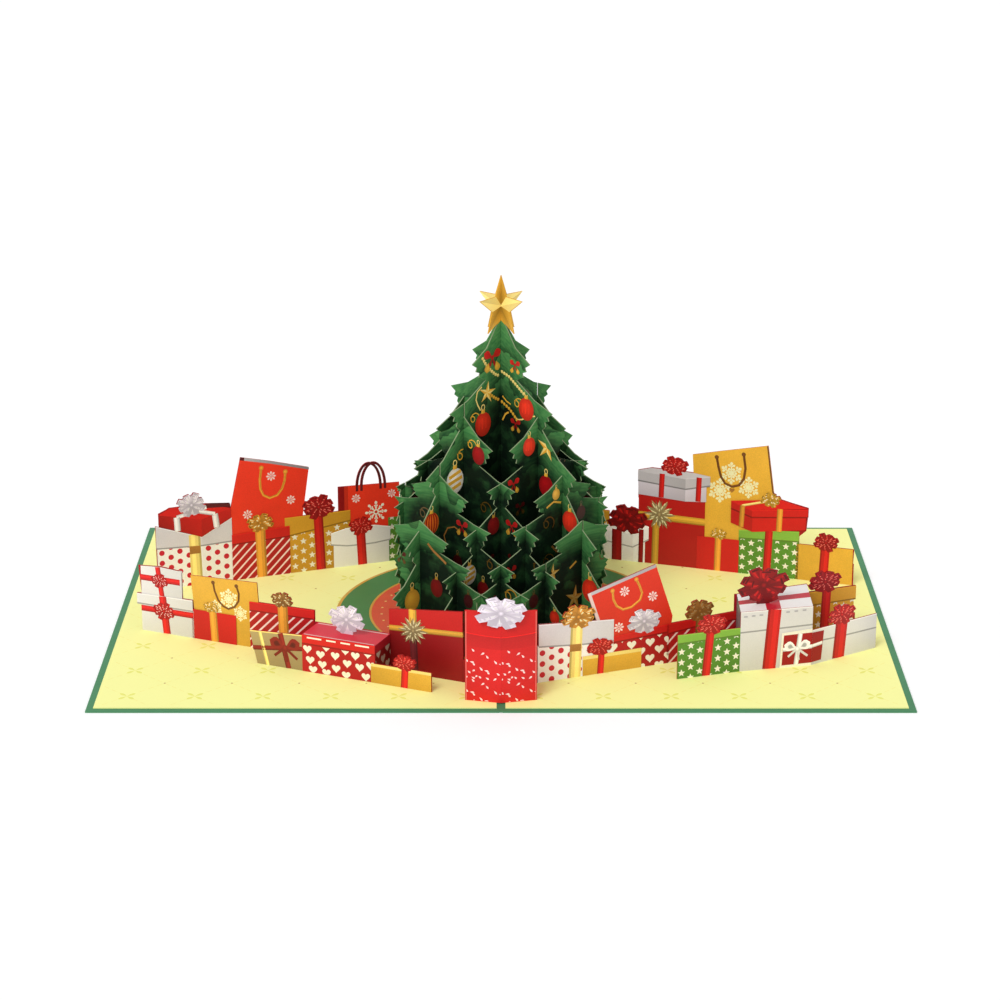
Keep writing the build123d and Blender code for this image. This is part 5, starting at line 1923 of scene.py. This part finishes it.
@dataclass
class OpenBook:
    """The cover board and the two pages, with their printed pattern and the skirt under the tree.

    Attributes:
        page_start: Distance of a page's inner edge from the fold.
        page_end: Distance of its outer edge.
        page_depth: Its size along the fold.
        lattice: Pitch of the printed pattern.
        petal: Size of its crosses.
        skirt: Radius of the skirt.
        skirt_inner: Radius of its red middle.
        dash: Length of a dash.
        dash_gap: Gap between dashes.
        dash_reach: How far a dashed line runs either way.
        nodes: Nodes of the frame by name.
    """

    page_start: float = 1.6
    page_end: float = 147.4
    page_depth: float = 194.8
    lattice: float = 24.8
    petal: float = 8.0
    skirt: float = 65.0
    skirt_inner: float = 51.0
    dash: float = 2.6
    dash_gap: float = 1.6
    dash_reach: float = 260.0
    nodes: dict[str, bpy.types.Object] = field(default_factory=dict)

    def build(self, press: MotifPress) -> None:
        """Dress the cover and print the pages."""
        CardFinish("cover_board_green", (70, 134, 92), 0.08, 0.00012, 0.6).dress(self.nodes["cover"])
        CardFinish("page_cream", (255, 255, 167), 0.012, 0.00004, 0.7).dress(
            self.nodes["page_left"], self.nodes["page_right"])
        for side, sign in (("left", -1), ("right", 1)):
            self._pattern(side, sign, press)
            self._skirt_half(side, sign)

    def _page_area(self, sign: int, margin: float = 0.0) -> list[Point]:
        """Corners of one page, less a margin."""
        near, far = sorted((sign * (self.page_start + margin), sign * (self.page_end - margin)))
        half = self.page_depth / 2 - margin
        return box_points(near, -half, far, half)

    @staticmethod
    def _sheet() -> PrintSheet:
        """An empty print on the pages' upper side."""
        return PrintSheet(Face(Vector((0, 0, PAGE_TOP)), Vector((1, 0, 0)), Vector((0, 1, 0)), UP))

    def _pattern(self, side: str, sign: int, press: MotifPress) -> None:
        """Print the faint lattice of crosses, dots and dashed lines."""
        sheet = self._sheet()
        area = self._page_area(sign, 0.5)
        pitch = (self.lattice, self.lattice)
        Wrap(Motif.PETALS, Inks.MOTIF, self.petal, pitch, 0.0).cover(sheet, press, area, 1)
        inner = self._page_area(sign, self.lattice / 2)
        Wrap(Motif.DOT, Inks.FLECK, 0.8, pitch, 0.0).cover(sheet, press, inner, 1)
        self._dashes(sheet, area, sign * (self.page_start + self.page_end) / 2)
        sheet.build(f"page_{side}_pattern", PAGE_SLOT)

    def _dashes(self, sheet: PrintSheet, area: list[Point], middle: float) -> None:
        """Print the dashed lines that cross the lattice both ways."""
        (left, low), (right, high) = area[0], area[2]
        diagonal = 0.7071
        for number in range(-8, 9):
            for lean in (-1, 1):
                run = -self.dash_reach
                while run < self.dash_reach:
                    ends = [(middle + number * self.lattice + step * diagonal, lean * step * diagonal)
                            for step in (run, run + self.dash)]
                    if all(left < x < right and low < y < high for x, y in ends):
                        sheet.ribbon(ends, 0.3, Inks.MOTIF_LINE, 0.4)
                    run += self.dash + self.dash_gap

    def _skirt_half(self, side: str, sign: int) -> None:
        """Print one half of the round skirt under the tree."""
        sheet = self._sheet()
        rings = ((self.skirt, Inks.GOLD, 0.85), (self.skirt - 1.2, Inks.SKIRT_GREEN, 1.0),
                 (self.skirt_inner + 0.9, Inks.GOLD, 0.8), (self.skirt_inner, Inks.SKIRT_RED, 1.0))
        for level, (radius, ink, tone) in enumerate(rings):
            limit = math.acos((self.page_start + 0.4) / radius)
            turns = [-limit + 2 * limit * step / 48 for step in range(49)]
            arc = [(sign * radius * math.cos(turn), radius * math.sin(turn)) for turn in turns]
            sheet.add(arc, ink, 3 + level, tone)
        for ring in range(1, 6):
            radius = self.skirt_inner + 4 - 8 * ring
            count = int(radius * 0.9)
            for step in range(count):
                turn = 2 * math.pi * (step + ring % 2 * 0.5) / count
                spot = (radius * math.cos(turn), radius * math.sin(turn))
                if spot[0] * sign > self.page_start + 1:
                    sheet.add(oval(spot, 0.5, 0.5), Inks.PALE_GOLD, 8)
        sheet.build(f"tree_skirt_{side}", PAGE_SLOT)


@dataclass
class Studio:
    """Floor, soft light and the camera at the photograph's angle.

    Attributes:
        distance: Camera's distance in front of the card's middle.
        height: Camera's height.
        pitch: Angle below the horizon that it looks at.
        lens: Focal length on a 36 mm wide sensor.
        shift: Sideways shift of the lens as a share of the sensor.
        floor_half: Half of the floor's side in metres.
        room_light: Strength of the room's light on the card.
        key_strength: Strength of the key light.
        key_angle: How soft the key light is, in degrees.
        key_from: Where the key light comes from.
    """

    distance: float = 1.04325
    height: float = 0.40199
    pitch: float = 18.787
    lens: float = 102.08
    shift: float = -0.001
    floor_half: float = 6.0
    room_light: float = 0.62
    key_strength: float = 1.5
    key_angle: float = 25.0
    key_from: tuple[float, float, float] = (-0.4, -0.72, 0.9)

    def build(self) -> None:
        """Set the stage."""
        self._floor()
        self._lights()
        self._camera()
        bpy.context.scene.view_settings.view_transform = "Standard"

    def _floor(self) -> None:
        """A pale floor that fades to white."""
        mesh = bpy.data.meshes.new("floor")
        half, white = self.floor_half, (1, 1, 1, 1)
        corners = [(x, y, 0) for x, y in box_points(-half, -half, half, half)]
        mesh.from_pydata(corners, [], [(0, 1, 2, 3)])
        floor = bpy.data.objects.new("floor", mesh)
        bpy.context.scene.collection.objects.link(floor)
        sheet = NodeSheet("pale_floor")
        sockets = {"Base Color": white, "Roughness": 0.8, "Specular IOR Level": 0.1, "Emission Color": white,
                   "Emission Strength": 0.07}
        shader = sheet.add("ShaderNodeBsdfPrincipled", sockets)
        sheet.add("ShaderNodeOutputMaterial", {"Surface": shader.outputs[0]})
        mesh.materials.append(sheet.material)

    def _lights(self) -> None:
        """Even light from all round and one soft key from the upper left."""
        world = bpy.data.worlds.new("soft_room")
        world.use_nodes = True
        bpy.context.scene.world = world
        graph = Graph(world.node_tree)
        rays = graph.add("ShaderNodeLightPath").outputs
        seen = graph.maths("MAXIMUM", rays["Is Camera Ray"], rays["Is Glossy Ray"])
        strength = graph.add("ShaderNodeMapRange", {"Value": seen, "To Min": self.room_light, "To Max": 1.0})
        glow = graph.add("ShaderNodeBackground", {"Color": (1, 1, 1, 1), "Strength": strength.outputs[0]})
        graph.add("ShaderNodeOutputWorld", {"Surface": glow.outputs[0]})
        key = bpy.data.lights.new("key", "SUN")
        key.energy = self.key_strength
        key.angle = math.radians(self.key_angle)
        lamp = bpy.data.objects.new("key", key)
        lamp.rotation_euler = Vector(self.key_from).to_track_quat("Z", "Y").to_euler()
        bpy.context.scene.collection.objects.link(lamp)

    def _camera(self) -> None:
        """The camera."""
        lens = bpy.data.cameras.new("camera")
        lens.lens = self.lens
        lens.sensor_width = 36.0
        lens.shift_x = self.shift
        lens.clip_start, lens.clip_end = 0.05, 30.0
        camera = bpy.data.objects.new("camera", lens)
        camera.location = (0, -self.distance, self.height)
        camera.rotation_euler = (math.radians(90 - self.pitch), 0, 0)
        bpy.context.scene.collection.objects.link(camera)
        bpy.context.scene.camera = camera


def main() -> None:
    """Build the card's looks piece by piece."""
    logging.basicConfig(level=logging.INFO, format="%(name)s %(message)s")
    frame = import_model()
    nodes = frame["nodes"]
    press, beads = MotifPress(), BeadPress()
    finishes = (
        (CardFinish("gift_card_red", (172, 22, 24), 0.07),
         ("back_gift_wall", "front_gift_wall", "gift_strip_left", "gift_strip_right")),
        (CardFinish("centre_box_red", (206, 22, 30), 0.05), ("centre_gift_box",)),
        (CardFinish("bow_card_white", (222, 208, 220), 0.04), ("centre_box_bow", "hearts_box_bow")),
        (CardFinish("bow_card_red", (110, 10, 18), 0.06), ("white_box_bow",)),
    )
    for finish, names in finishes:
        finish.dress(*[nodes[name] for name in names])
    OpenBook(nodes=nodes).build(press)
    GiftWalls(press).build()
    FirTree(nodes=nodes).build(beads)
    Studio().build()


if __name__ == "__main__":
    main()
